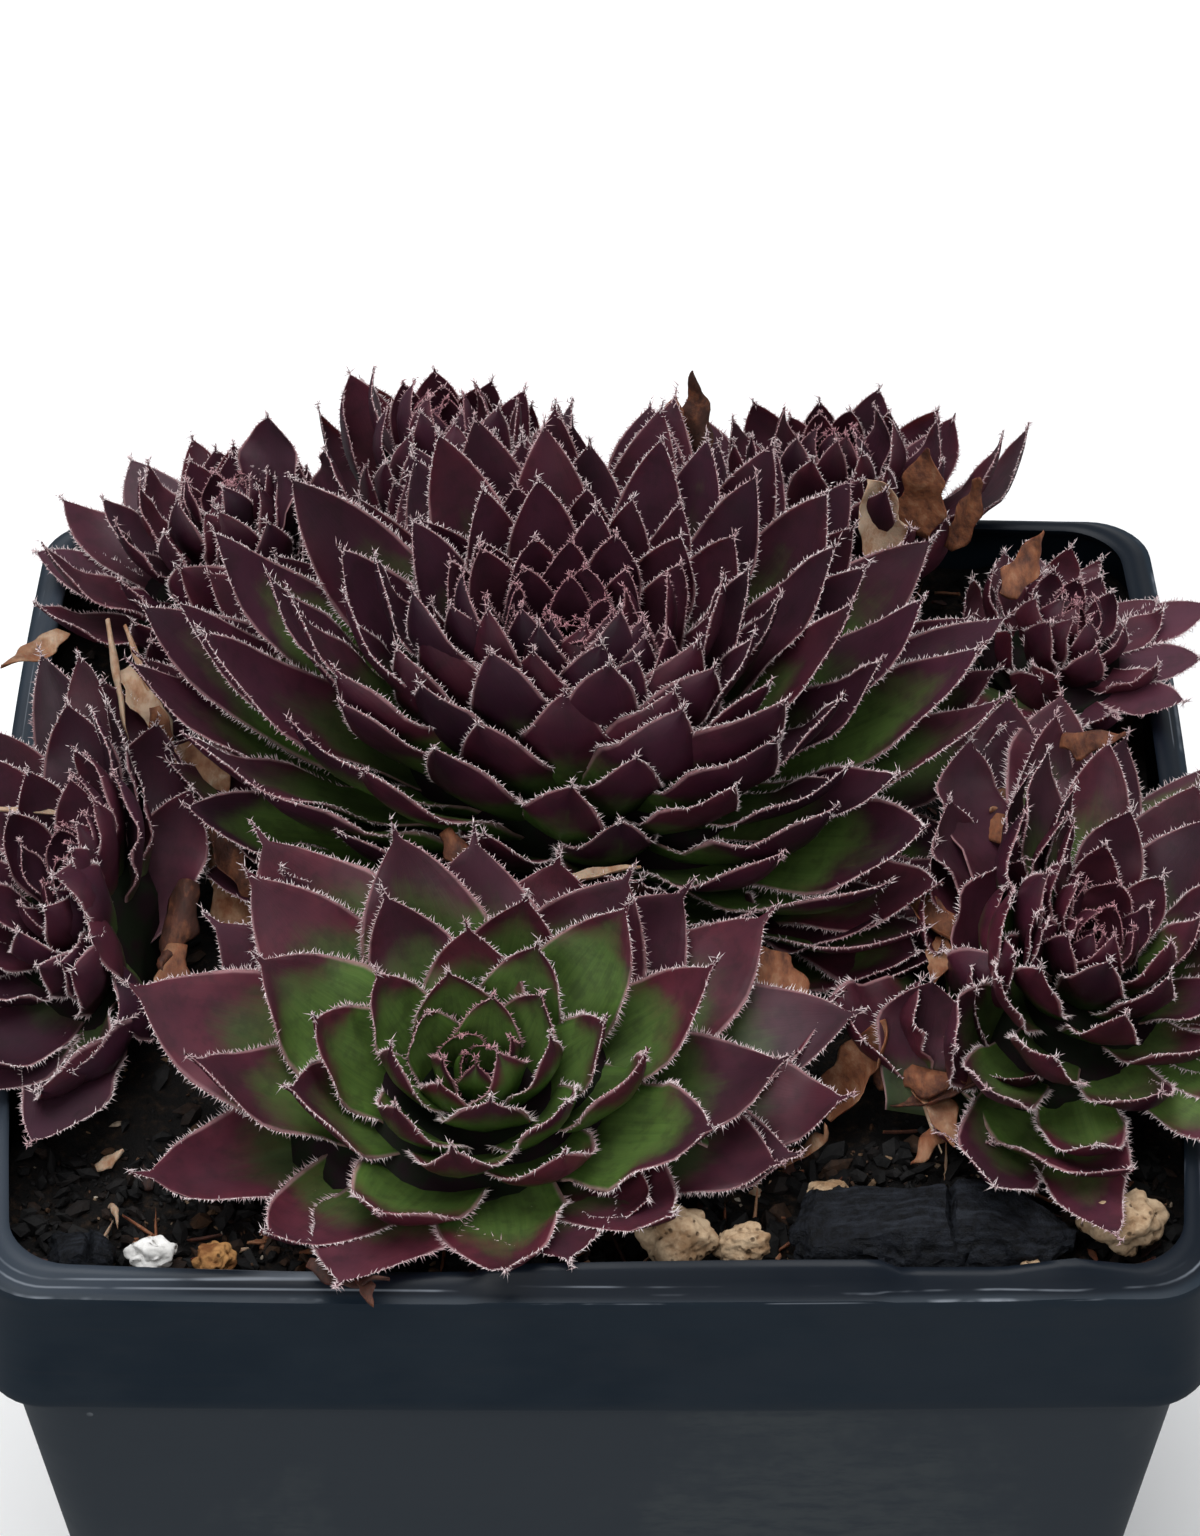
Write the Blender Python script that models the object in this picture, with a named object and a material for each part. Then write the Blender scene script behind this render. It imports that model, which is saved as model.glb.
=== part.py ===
"""Potted cobweb houseleek: a crowd of rosettes in a thin square nursery pot.

Metres, +Z up. The origin is the middle of the pot's underside. The front of the pot faces -Y.
"""

import math
import random

import bmesh
import bpy
from mathutils import Matrix, Vector

MM = 0.001
UP = Vector((0, 0, 1))

# Pot: a vacuum-formed nursery pot, nominally 3.5 inches square.
RIM_HALF = 44.5 * MM
RIM_Z = 80 * MM
POT_WALL = 0.9 * MM
FLOOR_THICK = 1.4 * MM
COLLAR_HEIGHT = 12.3 * MM
COLLAR_STEP = 1.5 * MM
SHOULDER_RISE = 1.1 * MM
SHOULDER_INSET = 1.6 * MM
WALL_TAPER = math.tan(math.radians(8.3))
CORNER_RADIUS = 6 * MM
SIDE_BULGE = 1.8 * MM
FRONT_BULGE = 0.7 * MM
DRAIN_RADIUS = 3.6 * MM
DRAIN_OUT = 25 * MM
RIM_INSIDE = RIM_HALF - SHOULDER_INSET - POT_WALL

# Growing mix: its level below the rim, its lumps, and the clearance that separate pieces keep.
SOIL_Z = RIM_Z - 5.0 * MM
SOIL_LUMP = 0.45 * MM
CLEAR = 0.3 * MM

# Leaves that reach over the rim climb at least this steeply as they cross it.
RIM_SLOPE = math.tan(math.radians(15))

# The furthest that leaves reach to the sides and to the front and back.
SIDE_REACH = 57 * MM
END_REACH = 49 * MM

# Leaves: the turn from one to the next, and the blade's sections as (share of the length, share of
# the width, share of the thickness) before the tip.
GOLDEN_TURN = math.radians(137.508)
SECTIONS = ((0.32, 0.64, 1.00), (0.68, 1.00, 0.80))
CROWDED = 0.22
CORE_SHARE = 0.46
CORE_SIDES = 9
GRIP = 12
HEM_FILL = 1.3
PRESS_DEPTH = 1.2 * MM
STEM_RADIUS = 2.6 * MM
STEM_DEPTH = 12 * MM

PLASTIC = ("pot_plastic", (0.018, 0.022, 0.028), 0.38)
MIX = ("growing_mix", (0.012, 0.010, 0.009), 0.95)
DARK_LEAF = ("dark_leaf", (0.075, 0.018, 0.030), 0.5)
GREEN_LEAF = ("green_leaf", (0.070, 0.130, 0.025), 0.5)
PUMICE = ("pumice", (0.50, 0.38, 0.24), 0.9)
PERLITE = ("perlite", (0.75, 0.72, 0.66), 0.9)
BARK = ("charred_bark", (0.010, 0.011, 0.013), 0.8)
STRAW = ("dry_straw", (0.30, 0.20, 0.09), 0.8)

# One row for each rosette. foot: where its stem leaves the mix (mm right, mm back). lean_to, lean:
# the way and the angle it leans (degrees). length, width: of the oldest and the youngest leaf (mm).
# rise: how steeply the oldest leaves climb; cup: how much each leaf curls up (degrees). stem: how
# far the youngest leaf stands above the oldest (mm). turn, start: the spiral's hand and phase.
ROSETTES = {
    "rosette_main": dict(
        foot=(-1.8, 8.0), lean_to=-90, lean=8, leaves=97, length=(46, 12), width=(11, 4.5),
        rise=9, cup=16, stem=12, turn=1, start=20, leaf=DARK_LEAF,
    ),
    "rosette_front": dict(
        foot=(-8.7, -24.0), lean_to=-90, lean=13, leaves=42, length=(30, 6), width=(14.5, 3.6),
        rise=8, cup=14, stem=3.0, turn=-1, start=4, leaf=GREEN_LEAF,
    ),
    "rosette_left": dict(
        foot=(-35.5, -6.5), lean_to=215, lean=16, leaves=39, length=(26, 7), width=(9.5, 3.2),
        rise=12, cup=22, stem=5, turn=1, start=6, leaf=DARK_LEAF,
    ),
    "rosette_right": dict(
        foot=(34.0, -12.5), lean_to=-20, lean=14, leaves=44, length=(26, 6), width=(10, 3.0),
        rise=10, cup=22, stem=3.5, turn=-1, start=40, leaf=DARK_LEAF,
    ),
    "rosette_back_left": dict(
        foot=(-26.5, 31.0), lean_to=120, lean=12, leaves=28, length=(20, 6), width=(8, 3.0),
        rise=20, cup=20, stem=8, turn=1, start=75, leaf=DARK_LEAF,
    ),
    "rosette_back": dict(
        foot=(-12.5, 37.5), lean_to=95, lean=4, leaves=21, length=(20, 9), width=(7.5, 3.0),
        rise=36, cup=18, stem=10, turn=-1, start=10, leaf=DARK_LEAF,
    ),
    "rosette_back_right": dict(
        foot=(18.5, 36.5), lean_to=70, lean=6, leaves=25, length=(20, 8), width=(8, 3.0),
        rise=30, cup=18, stem=8, turn=1, start=50, leaf=DARK_LEAF,
    ),
    "rosette_far_right": dict(
        foot=(35.0, 25.0), lean_to=25, lean=14, leaves=23, length=(13, 5), width=(5.5, 2.4),
        rise=20, cup=20, stem=3.5, turn=-1, start=0, leaf=DARK_LEAF,
    ),
}

# Neighbours press flat against each other. Each row: two rosettes, a point on the wall between
# them (mm right, back and above the rim), the way from the first to the second (degrees), and how
# far the second leans over the first there (degrees). The last row keeps leaves off the gravel.
MEETINGS = (
    ("main", "front", (-4, -9.5, 6), -98, 10),
    ("main", "left", (-33, 0, 8), 198, -12),
    ("main", "right", (29, -3, 6), -17, -12),
    ("main", "back_left", (-25, 27, 10), 134, -20),
    ("main", "back", (-9, 33, 10), 108, -5),
    ("main", "back_right", (12, 31, 10), 56, -8),
    ("main", "far_right", (33, 20, 7), 29, -15),
    ("front", "left", (-31.5, -18, 1), 149, -30),
    ("front", "right", (20, -20, 2), 20, -10),
    ("left", "back_left", (-38, 18, 5), 78, 0),
    ("back_left", "back", (-20, 38, 10), 20, 0),
    ("back", "back_right", (0, 39, 10), 0, 0),
    ("back_right", "far_right", (30, 33, 6), -28, 0),
    ("far_right", "right", (38, 12, 4), -90, 0),
    ("front", "gravel", (9, -39, 0), -50, 0),
)

# Gravel and bark on the mix: name, kind, middle (mm right, mm back), size (mm), turn, points, seed.
PEBBLES = (
    ("pumice_front_a", PUMICE, (5.6, -37.0), (6.2, 4.6, 5.6), 20, 16, 1),
    ("pumice_front_b", PUMICE, (10.6, -37.6), (4.6, 3.8, 4.2), -30, 14, 2),
    ("pumice_corner", PUMICE, (38.4, -35.8), (5.6, 6.6, 6.0), 10, 18, 3),
    ("pumice_edge", PUMICE, (31.2, -39.6), (2.8, 2.2, 2.4), 40, 9, 4),
    ("pumice_under_right", PUMICE, (17.0, -31.8), (4.0, 3.0, 3.0), 0, 10, 5),
    ("perlite_left", PERLITE, (-32.1, -38.0), (3.6, 3.0, 3.0), 15, 10, 6),
    ("pumice_left", PUMICE, (-27.6, -38.6), (3.8, 3.0, 3.2), 60, 10, 7),
    ("bark_front", BARK, (24.6, -35.6), (21.0, 7.6, 4.4), 2, 22, 8),
    ("bark_left", BARK, (-37.2, -37.6), (5.0, 6.0, 3.0), 30, 12, 9),
)

# Withered leaves and a straw that stand in the gaps: name, foot (mm right, mm back), the way it
# points and its climb (degrees), length, width and thickness (mm), and how much it curls (degrees).
WITHERED = (
    ("dry_leaf_left", (-26.5, -4.5), 118, 32, 11.0, 4.2, 0.8, 40),
    ("dry_leaf_right", (17.0, -23.5), 35, 30, 9.0, 5.0, 0.8, 50),
    ("dry_leaf_front", (12.5, -27.5), -25, 22, 7.0, 3.4, 0.8, 45),
    ("straw_left", (-35.5, -32.5), -80, 50, 8.0, 0.9, 0.9, -20),
)


def material_of(kind):
    """The Principled material for a (name, colour, roughness) kind."""
    name, colour, roughness = kind
    found = bpy.data.materials.get(name)
    if found:
        return found
    made = bpy.data.materials.new(name)
    made.use_nodes = True
    shader = made.node_tree.nodes["Principled BSDF"]
    shader.inputs["Base Color"].default_value = (*colour, 1)
    shader.inputs["Roughness"].default_value = roughness
    shader.inputs["Metallic"].default_value = 0
    made.diffuse_color = (*colour, 1)
    return made


def object_of(name, mesh, kind):
    """A scene object for a bmesh, with its material, its faces turned outwards."""
    bmesh.ops.recalc_face_normals(mesh, faces=mesh.faces)
    data = bpy.data.meshes.new(name)
    mesh.to_mesh(data)
    mesh.free()
    data.materials.append(material_of(kind))
    made = bpy.data.objects.new(name, data)
    bpy.context.scene.collection.objects.link(made)
    return made


def way_to(degrees, climb=0):
    """A unit direction from a heading on the ground and a climb."""
    heading, climb = math.radians(degrees), math.radians(climb)
    flat = math.cos(climb)
    return Vector((math.cos(heading) * flat, math.sin(heading) * flat, math.sin(climb)))


def circle(count):
    """Angles round a circle."""
    return [2 * math.pi * i / count for i in range(count)]


def loft(rings):
    """A closed bmesh through rings of like counts, capped at both ends."""
    mesh = bmesh.new()
    rows = [[mesh.verts.new(p) for p in ring] for ring in rings]
    for low, high in zip(rows, rows[1:]):
        for i in range(len(low)):
            j = (i + 1) % len(low)
            mesh.faces.new((low[i], low[j], high[j], high[i]))
    mesh.faces.new(rows[0][::-1])
    mesh.faces.new(rows[-1])
    return mesh


def rounded_square(half, z, radius, bulge):
    """Points round a square with rounded corners, its sides pushed out as the soft pot's are."""
    corners = []
    for corner in range(4):
        centre = way_to(45 + 90 * corner) * (half - radius) * math.sqrt(2)
        corners.append([centre + radius * way_to(90 * corner + turn) for turn in (0, 30, 60, 90)])
    points = []
    for here, following in zip(corners, corners[1:] + corners[:1]):
        points += here
        points += [here[-1].lerp(following[0], share) for share in (0.25, 0.5, 0.75)]
    pushed = []
    for x, y, _ in points:
        out_x = SIDE_BULGE * bulge * (x / half) ** 4 * max(0, 1 - (y / half) ** 2)
        out_y = FRONT_BULGE * bulge * (y / half) ** 4 * max(0, 1 - (x / half) ** 2)
        pushed.append(Vector((x + math.copysign(out_x, x), y + math.copysign(out_y, y), z)))
    return pushed


def wall_half(z):
    """Half the outer width of the tapering wall at a height."""
    return RIM_HALF - COLLAR_STEP - (RIM_Z - COLLAR_HEIGHT - z) * WALL_TAPER


def pot_ring(half, z):
    """A ring of the pot, its corners and the bulge of its sides softening towards the rim."""
    share = z / RIM_Z
    return rounded_square(half, z, CORNER_RADIUS * (0.75 + 0.25 * share), share**2)


def cutter(name, mesh, target, solver="EXACT"):
    """Hide a shape from the render and cut it out of another."""
    tool = object_of(name, mesh, PLASTIC)
    tool.hide_render = True
    tool.display_type = "WIRE"
    cut = target.modifiers.new(name, "BOOLEAN")
    cut.operation = "DIFFERENCE"
    cut.object = tool
    cut.solver = solver


def pot():
    """The thin shell: tapering wall, stepped collar with a sloping shoulder, floor with drain holes."""
    collar_z = RIM_Z - COLLAR_HEIGHT
    step_z = collar_z + 1.0 * MM
    outer = [
        (wall_half(0) - 1.2 * MM, 0),
        (wall_half(0), 1.2 * MM),
        (wall_half(collar_z), collar_z),
        (RIM_HALF - 0.2 * MM, collar_z - 0.2 * MM),
        (RIM_HALF, step_z),
        (RIM_HALF, RIM_Z - SHOULDER_RISE - 0.5 * MM),
        (RIM_HALF - 0.3 * MM, RIM_Z - SHOULDER_RISE),
        (RIM_HALF - SHOULDER_INSET, RIM_Z),
    ]
    inner = [
        (RIM_INSIDE, RIM_Z),
        (RIM_HALF - POT_WALL, RIM_Z - SHOULDER_RISE - POT_WALL),
        (RIM_HALF - POT_WALL, step_z + POT_WALL),
        (wall_half(collar_z) - POT_WALL, step_z + POT_WALL),
        (wall_half(FLOOR_THICK) - POT_WALL, FLOOR_THICK),
    ]
    shell = object_of("pot", loft([pot_ring(half, z) for half, z in outer + inner]), PLASTIC)
    for corner in range(4):
        hole = bmesh.new()
        bmesh.ops.create_cone(
            hole, cap_ends=True, segments=12, radius1=DRAIN_RADIUS, radius2=DRAIN_RADIUS,
            depth=FLOOR_THICK * 4, matrix=Matrix.Translation(way_to(45 + 90 * corner) * DRAIN_OUT),
        )
        cutter(f"drain_{corner}", hole, shell)


def lump(x, y):
    """How far the mix stands above or below its level, in metres: a few crossing ripples."""
    ripple = math.sin(x / MM * 0.31 + 0.7) * math.cos(y / MM * 0.27 - 0.4)
    ripple += 0.6 * math.sin(x / MM * 0.53 - y / MM * 0.47)
    return SOIL_LUMP * ripple / 1.6


def soil():
    """The growing mix: a block that fills the pot, with a lumpy top and a hole for each stem."""
    collar_z = RIM_Z - COLLAR_HEIGHT
    fit = POT_WALL + CLEAR
    step_z = collar_z + 1.0 * MM + POT_WALL
    rings = [
        pot_ring(wall_half(FLOOR_THICK) - fit, FLOOR_THICK + CLEAR),
        pot_ring(wall_half(collar_z) - fit, step_z),
        pot_ring(RIM_HALF - fit, step_z + CLEAR),
        pot_ring(RIM_HALF - fit - 0.4 * MM, SOIL_Z - 1.4 * MM),
    ]
    for share in (0.97, 0.80, 0.62, 0.43, 0.24, 0.08):
        ring = [p * share for p in pot_ring(RIM_HALF - fit, 0)]
        rings.append([Vector((p.x, p.y, SOIL_Z + lump(p.x, p.y))) for p in ring])
    block = loft(rings)
    bmesh.ops.triangulate(block, faces=block.faces)
    mix = object_of("soil", block, MIX)
    bore = STEM_RADIUS + CLEAR
    for name, row in ROSETTES.items():
        x, y = row["foot"]
        low = Vector((x * MM, y * MM, SOIL_Z - STEM_DEPTH - CLEAR))
        high = Vector((x * MM, y * MM, SOIL_Z + 3 * MM))
        bounds = [[end + Vector((bore * math.cos(a), bore * math.sin(a), 0)) for a in circle(CORE_SIDES)]
                  for end in (low, high)]
        cutter(f"hole_{name}", loft(bounds), mix, "MANIFOLD")


def pebble(name, kind, middle, size, turn, points, seed):
    """An angular grain: the hull of random points in an ellipsoid, flat where it beds on the mix."""
    grain = random.Random(seed)
    mesh = bmesh.new()
    spin = Matrix.Rotation(math.radians(turn), 3, "Z")
    bed = SOIL_Z + SOIL_LUMP + CLEAR
    for i in range(points):
        height = 1 - 2 * (i + 0.5) / points
        ring = math.sqrt(1 - height**2)
        angle = GOLDEN_TURN * i + grain.uniform(-0.3, 0.3)
        far = grain.uniform(0.82, 1.05) * 0.5 * MM
        spot = Vector((ring * math.cos(angle) * size[0], ring * math.sin(angle) * size[1], height * size[2]))
        spot = spin @ spot * far + Vector((middle[0] * MM, middle[1] * MM, bed + size[2] * 0.22 * MM))
        spot.z = max(spot.z, bed + 0.02 * MM * height)
        mesh.verts.new(spot)
    hull = bmesh.ops.convex_hull(mesh, input=mesh.verts)
    bmesh.ops.delete(mesh, geom=hull["geom_interior"] + hull["geom_unused"], context="VERTS")
    object_of(name, mesh, kind)


def withered(name, foot, heading, climb, length, width, thick, curl):
    """A dry blade that stands on the mix and curls towards its tip."""
    point = Vector((foot[0] * MM, foot[1] * MM, SOIL_Z + SOIL_LUMP + CLEAR + 0.5 * MM))
    side = way_to(heading + 90)
    rings = []
    for share, wide in ((0.0, 0.55), (0.3, 1.0), (0.65, 0.75)):
        way = way_to(heading, climb + curl * (share - 0.3))
        under = way.cross(side) * thick * MM
        half = side * width * wide * 0.5 * MM
        rings.append([point + half - under * 0.4, point - half - under * 0.4, point + under * 0.6])
        point = point + way * length * MM / 3
    object_of(name, blade(rings, point), STRAW)


class Cell:
    """The room a rosette keeps to: flat walls between it and its neighbours, the mix and the rim."""

    def __init__(self, name):
        self.beside = []
        for first, second, foot, heading, climb in MEETINGS:
            foot = Vector(foot) * MM + UP * RIM_Z
            out = way_to(heading, climb)
            if name == "rosette_" + first:
                self.beside.append((foot, out))
            if name == "rosette_" + second:
                self.beside.append((foot, -out))
        self.beneath = [(UP * (SOIL_Z + SOIL_LUMP), -UP)]
        for heading, furthest in ((0, SIDE_REACH), (90, END_REACH), (180, SIDE_REACH), (270, END_REACH)):
            out = way_to(heading)
            self.beside.append((out * furthest, out))
            self.beneath.append((out * RIM_INSIDE + UP * (RIM_Z + CLEAR), (out * RIM_SLOPE - UP).normalized()))

    def squeeze(self, point, centre, reach):
        """A point of an open rosette drawn in on the sides where neighbours hem it in."""
        axis = Vector((centre.x, centre.y, point.z))
        for foot, out in self.beside:
            level = Vector((out.x, out.y, 0)).normalized()
            off = (point - axis).dot(level)
            if off > 0:
                room = (foot - axis).dot(out) / level.dot(out)
                limit = max(room, 1 * MM) * min(1, HEM_FILL * (point - axis).length / reach)
                kept = off / (1 + (off / limit) ** GRIP) ** (1 / GRIP)
                point = point - level * (off - kept)
        return point

    def press(self, point):
        """A point pressed back behind every wall, so that no face crosses one."""
        for _ in range(3):
            for foot, out in self.beside + self.beneath:
                room = (foot - point).dot(out) - CLEAR * 0.5
                if room < PRESS_DEPTH:
                    kept = PRESS_DEPTH / (2 - room / PRESS_DEPTH)
                    point = point - out * (kept - room)
        return point


class Rosette:
    """The growth rule of one rosette: where each of its leaves starts, points and turns."""

    def __init__(self, name):
        self.row = ROSETTES[name]
        self.cell = Cell(name)
        self.foot = Vector((self.row["foot"][0] * MM, self.row["foot"][1] * MM, SOIL_Z))
        self.axis = way_to(self.row["lean_to"], 90 - self.row["lean"])
        self.level = self.axis.cross(Vector((0, 1, 0))).normalized()
        self.centre = self.foot + self.axis * (self.row["stem"] + 6) * MM
        self.reach = self.profile(1, 1)[0]

    def sized(self, what, age, power):
        """A length or width in metres at an age, from 0 for the youngest leaf to 1 for the oldest."""
        old, young = self.row[what]
        return (young + (old - young) * age**power) * MM

    def profile(self, age, share):
        """How far out and up a leaf has come by a share of its length, in open ground."""
        slope = math.radians(84 - (84 - self.row["rise"]) * age**0.85)
        run = self.sized("length", age, 0.75) * share
        up = (self.row["stem"] * (1 - age) ** 1.2 + 1.6) * MM
        return (0.6 + 2.2 * age) * MM + run * math.cos(slope), up + run * math.sin(slope)

    def placed(self, out, up, angle, aside=0.0):
        """A point of the open rosette, drawn in where neighbours hem it in."""
        along = self.level * math.cos(angle) + self.axis.cross(self.level) * math.sin(angle)
        point = self.foot + self.axis * up + along * out + self.axis.cross(along) * aside
        return self.cell.squeeze(point, self.centre, self.reach)

    def leaf(self, index):
        """The rings and the tip of one leaf, or None where it had no room. Index 0 is the youngest."""
        age = (index + 1) / self.row["leaves"]
        angle = self.row["turn"] * GOLDEN_TURN * index + math.radians(self.row["start"])
        base = self.placed(*self.profile(age, 0), angle)
        tip = self.placed(*self.profile(age, 1), angle)
        open_reach = self.profile(age, 1)[0]
        if ((tip - self.foot) - self.axis * (tip - self.foot).dot(self.axis)).length < CROWDED * open_reach:
            return None
        out, up = self.profile(age, 0.7)
        side = self.placed(out, up, angle, MM) - self.placed(out, up, angle, -MM)
        chord = tip - base
        side = (side - chord * side.dot(chord) / chord.length_squared).normalized()
        under = chord.cross(side).normalized()
        if under.dot(self.axis) > 0:
            under = -under
        cup = math.radians(self.row["cup"]) * (0.4 + 0.6 * age)
        sag = under * chord.length * cup / 2
        width = self.sized("width", age, 0.8)
        thick = max(0.8 * MM, width * 0.11)
        rings = []
        for share, wide, deep in SECTIONS:
            middle = base + chord * share + sag * share * (1 - share)
            half, deep = side * width * wide * 0.5, under * thick * deep
            rings.append([middle + half - deep * 0.4, middle - half - deep * 0.4, middle + deep * 0.6])
        return [[self.cell.press(p) for p in ring] for ring in rings], self.cell.press(tip)

    def core(self):
        """The rings of the heart that the leaves stand out of, on the stem that roots it."""
        stem = [Vector((-math.cos(a), -math.sin(a), 0)) * STEM_RADIUS for a in circle(CORE_SIDES)]
        low, high = self.foot - UP * STEM_DEPTH, self.foot + UP * (SOIL_LUMP + CLEAR)
        rings = []
        for age in (1.0, 0.62, 0.30, 0.08):
            ring = [self.placed(*self.profile(age, CORE_SHARE), a) for a in circle(CORE_SIDES)]
            rings.append([self.cell.press(p) for p in ring])
        neck = [self.cell.press(within_mouth(high + root, wide)) for root, wide in zip(stem, rings[0])]
        neck = [Vector((*p.xy, min(p.z, wide.z - CLEAR))) for p, wide in zip(neck, rings[0])]
        return [[low + p for p in stem], [high + p for p in stem], neck] + rings


def within_mouth(root, wide):
    """A point most of the way from a stem to the ring it spreads to, still inside the pot's mouth."""
    share = 0.8
    for start, end in zip(root.xy, wide.xy):
        if abs(end) > RIM_INSIDE - CLEAR:
            mouth = math.copysign(RIM_INSIDE - CLEAR, end)
            share = min(share, (mouth - start) / (end - start))
    return root.lerp(wide, share)


def blade(rings, tip):
    """A closed bmesh through three-cornered rings to a tip."""
    mesh = bmesh.new()
    rows = [[mesh.verts.new(p) for p in ring] for ring in rings]
    point = mesh.verts.new(tip)
    for low, high in zip(rows, rows[1:]):
        for i in range(3):
            mesh.faces.new((low[i], low[(i + 1) % 3], high[(i + 1) % 3], high[i]))
    mesh.faces.new(rows[0][::-1])
    for i in range(3):
        mesh.faces.new((rows[-1][i], rows[-1][(i + 1) % 3], point))
    bmesh.ops.triangulate(mesh, faces=mesh.faces)
    return mesh


def joined(target, pieces):
    """Unite an object with loose pieces, apply that, and remove the pieces."""
    group = bpy.data.collections.new(target.name + "_leaves")
    bpy.context.scene.collection.children.link(group)
    for piece in pieces:
        bpy.context.scene.collection.objects.unlink(piece)
        group.objects.link(piece)
    union = target.modifiers.new("join_leaves", "BOOLEAN")
    union.operation = "UNION"
    union.operand_type = "COLLECTION"
    union.collection = group
    union.solver = "MANIFOLD"
    graph = bpy.context.evaluated_depsgraph_get()
    graph.update()
    whole = bpy.data.meshes.new_from_object(target.evaluated_get(graph))
    target.modifiers.clear()
    target.data = whole
    for piece in pieces:
        bpy.data.objects.remove(piece)
    bpy.data.collections.remove(group)


def keep_outer_shell(data):
    """Fill the pockets that leaves close in: only the shell with the most corners stays."""
    mesh = bmesh.new()
    mesh.from_mesh(data)
    left = set(mesh.verts)
    shells = []
    while left:
        shell, edge = set(), [left.pop()]
        while edge:
            vert = edge.pop()
            shell.add(vert)
            for link in vert.link_edges:
                other = link.other_vert(vert)
                if other in left:
                    left.discard(other)
                    edge.append(other)
        shells.append(shell)
    shells.sort(key=len)
    for shell in shells[:-1]:
        bmesh.ops.delete(mesh, geom=list(shell), context="VERTS")
    mesh.to_mesh(data)
    mesh.free()


def rosette(name):
    """One rosette: its leaves set round the heart by the golden turn and fused to it."""
    rule = Rosette(name)
    kind = rule.row["leaf"]
    core = loft(rule.core())
    bmesh.ops.triangulate(core, faces=core.faces)
    heart = object_of(name, core, kind)
    leaves = [rule.leaf(index) for index in range(rule.row["leaves"])]
    joined(heart, [object_of("leaf", blade(*leaf), kind) for leaf in leaves if leaf])
    keep_outer_shell(heart.data)


for thing in list(bpy.data.objects):
    bpy.data.objects.remove(thing)
pot()
soil()
for rosette_name in ROSETTES:
    rosette(rosette_name)
for pebble_row in PEBBLES:
    pebble(*pebble_row)
for withered_row in WITHERED:
    withered(*withered_row)
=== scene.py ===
"""The looks of a potted houseleek, its gravel and its thin square pot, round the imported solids.

Metres, +Z up, the front of the pot towards -Y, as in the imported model.
"""

import math
import random

import bmesh
import bpy
import numpy as np
from mathutils import Euler, Matrix, Vector, noise


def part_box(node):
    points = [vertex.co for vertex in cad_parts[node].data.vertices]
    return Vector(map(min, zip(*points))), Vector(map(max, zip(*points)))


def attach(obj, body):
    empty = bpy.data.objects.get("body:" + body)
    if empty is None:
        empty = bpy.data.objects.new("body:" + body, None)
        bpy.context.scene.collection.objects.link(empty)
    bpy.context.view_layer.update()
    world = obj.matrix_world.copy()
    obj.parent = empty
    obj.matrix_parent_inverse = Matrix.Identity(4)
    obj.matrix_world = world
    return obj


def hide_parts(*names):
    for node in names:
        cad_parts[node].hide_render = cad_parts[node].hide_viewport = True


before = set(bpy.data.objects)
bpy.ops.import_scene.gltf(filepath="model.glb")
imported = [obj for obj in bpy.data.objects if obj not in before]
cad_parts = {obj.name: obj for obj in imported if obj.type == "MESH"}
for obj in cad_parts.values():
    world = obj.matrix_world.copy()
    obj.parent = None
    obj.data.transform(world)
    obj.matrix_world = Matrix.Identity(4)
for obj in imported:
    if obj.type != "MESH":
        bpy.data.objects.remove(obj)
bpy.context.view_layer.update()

# Noise vectors crumple the dry leaves and roughen the bark. Their offsets follow the clock unless
# they are seeded.
NOISE_SEED = 1
noise.seed_set(NOISE_SEED)


# The stage: a pale floor under a soft white sky, seen from above and in front as a grower holds a pot
# out to look at it. The lens is long, so the square pot shows little perspective.
MM = 0.001
RIM_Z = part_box("pot")[1].z
LENS_RISE = math.radians(40.6)
LENS_FAR = 509 * MM
LENS_AIM = Vector((0.25 * MM, 0, RIM_Z + 10.5 * MM))
FRAME_PIXELS = 1536
FOCAL_PIXELS = 6760

camera_data = bpy.data.cameras.new("camera")
camera_data.lens = FOCAL_PIXELS / FRAME_PIXELS * camera_data.sensor_width
camera = bpy.data.objects.new("camera", camera_data)
toward_lens = Vector((0, -math.cos(LENS_RISE), math.sin(LENS_RISE)))
camera.location = LENS_AIM + toward_lens * LENS_FAR
camera.rotation_euler = (math.pi / 2 - LENS_RISE, 0, 0)
bpy.context.scene.collection.objects.link(camera)
bpy.context.scene.camera = camera
bpy.context.scene.view_settings.view_transform = "Standard"

sky = bpy.data.worlds.new("sky")
sky.use_nodes = True
sky.node_tree.nodes["Background"].inputs["Color"].default_value = (0.93, 0.96, 1.0, 1)
sky.node_tree.nodes["Background"].inputs["Strength"].default_value = 0.36
bpy.context.scene.world = sky

# name, place (metres), size (metres), power (watts)
LAMPS = (
    ("overhead", (-0.10, 0.10, 0.95), 0.80, 8.2),
    ("front", (-0.45, -0.85, 0.62), 0.60, 4.8),
    ("right", (0.80, -0.20, 0.55), 0.50, 2.0),
)
for lamp_name, place, size, power in LAMPS:
    lamp_data = bpy.data.lights.new(lamp_name, "AREA")
    lamp_data.size = size
    lamp_data.energy = power
    lamp = bpy.data.objects.new(lamp_name, lamp_data)
    lamp.location = place
    lamp.rotation_euler = (Vector(place) - LENS_AIM).to_track_quat("Z", "Y").to_euler()
    bpy.context.scene.collection.objects.link(lamp)

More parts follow.
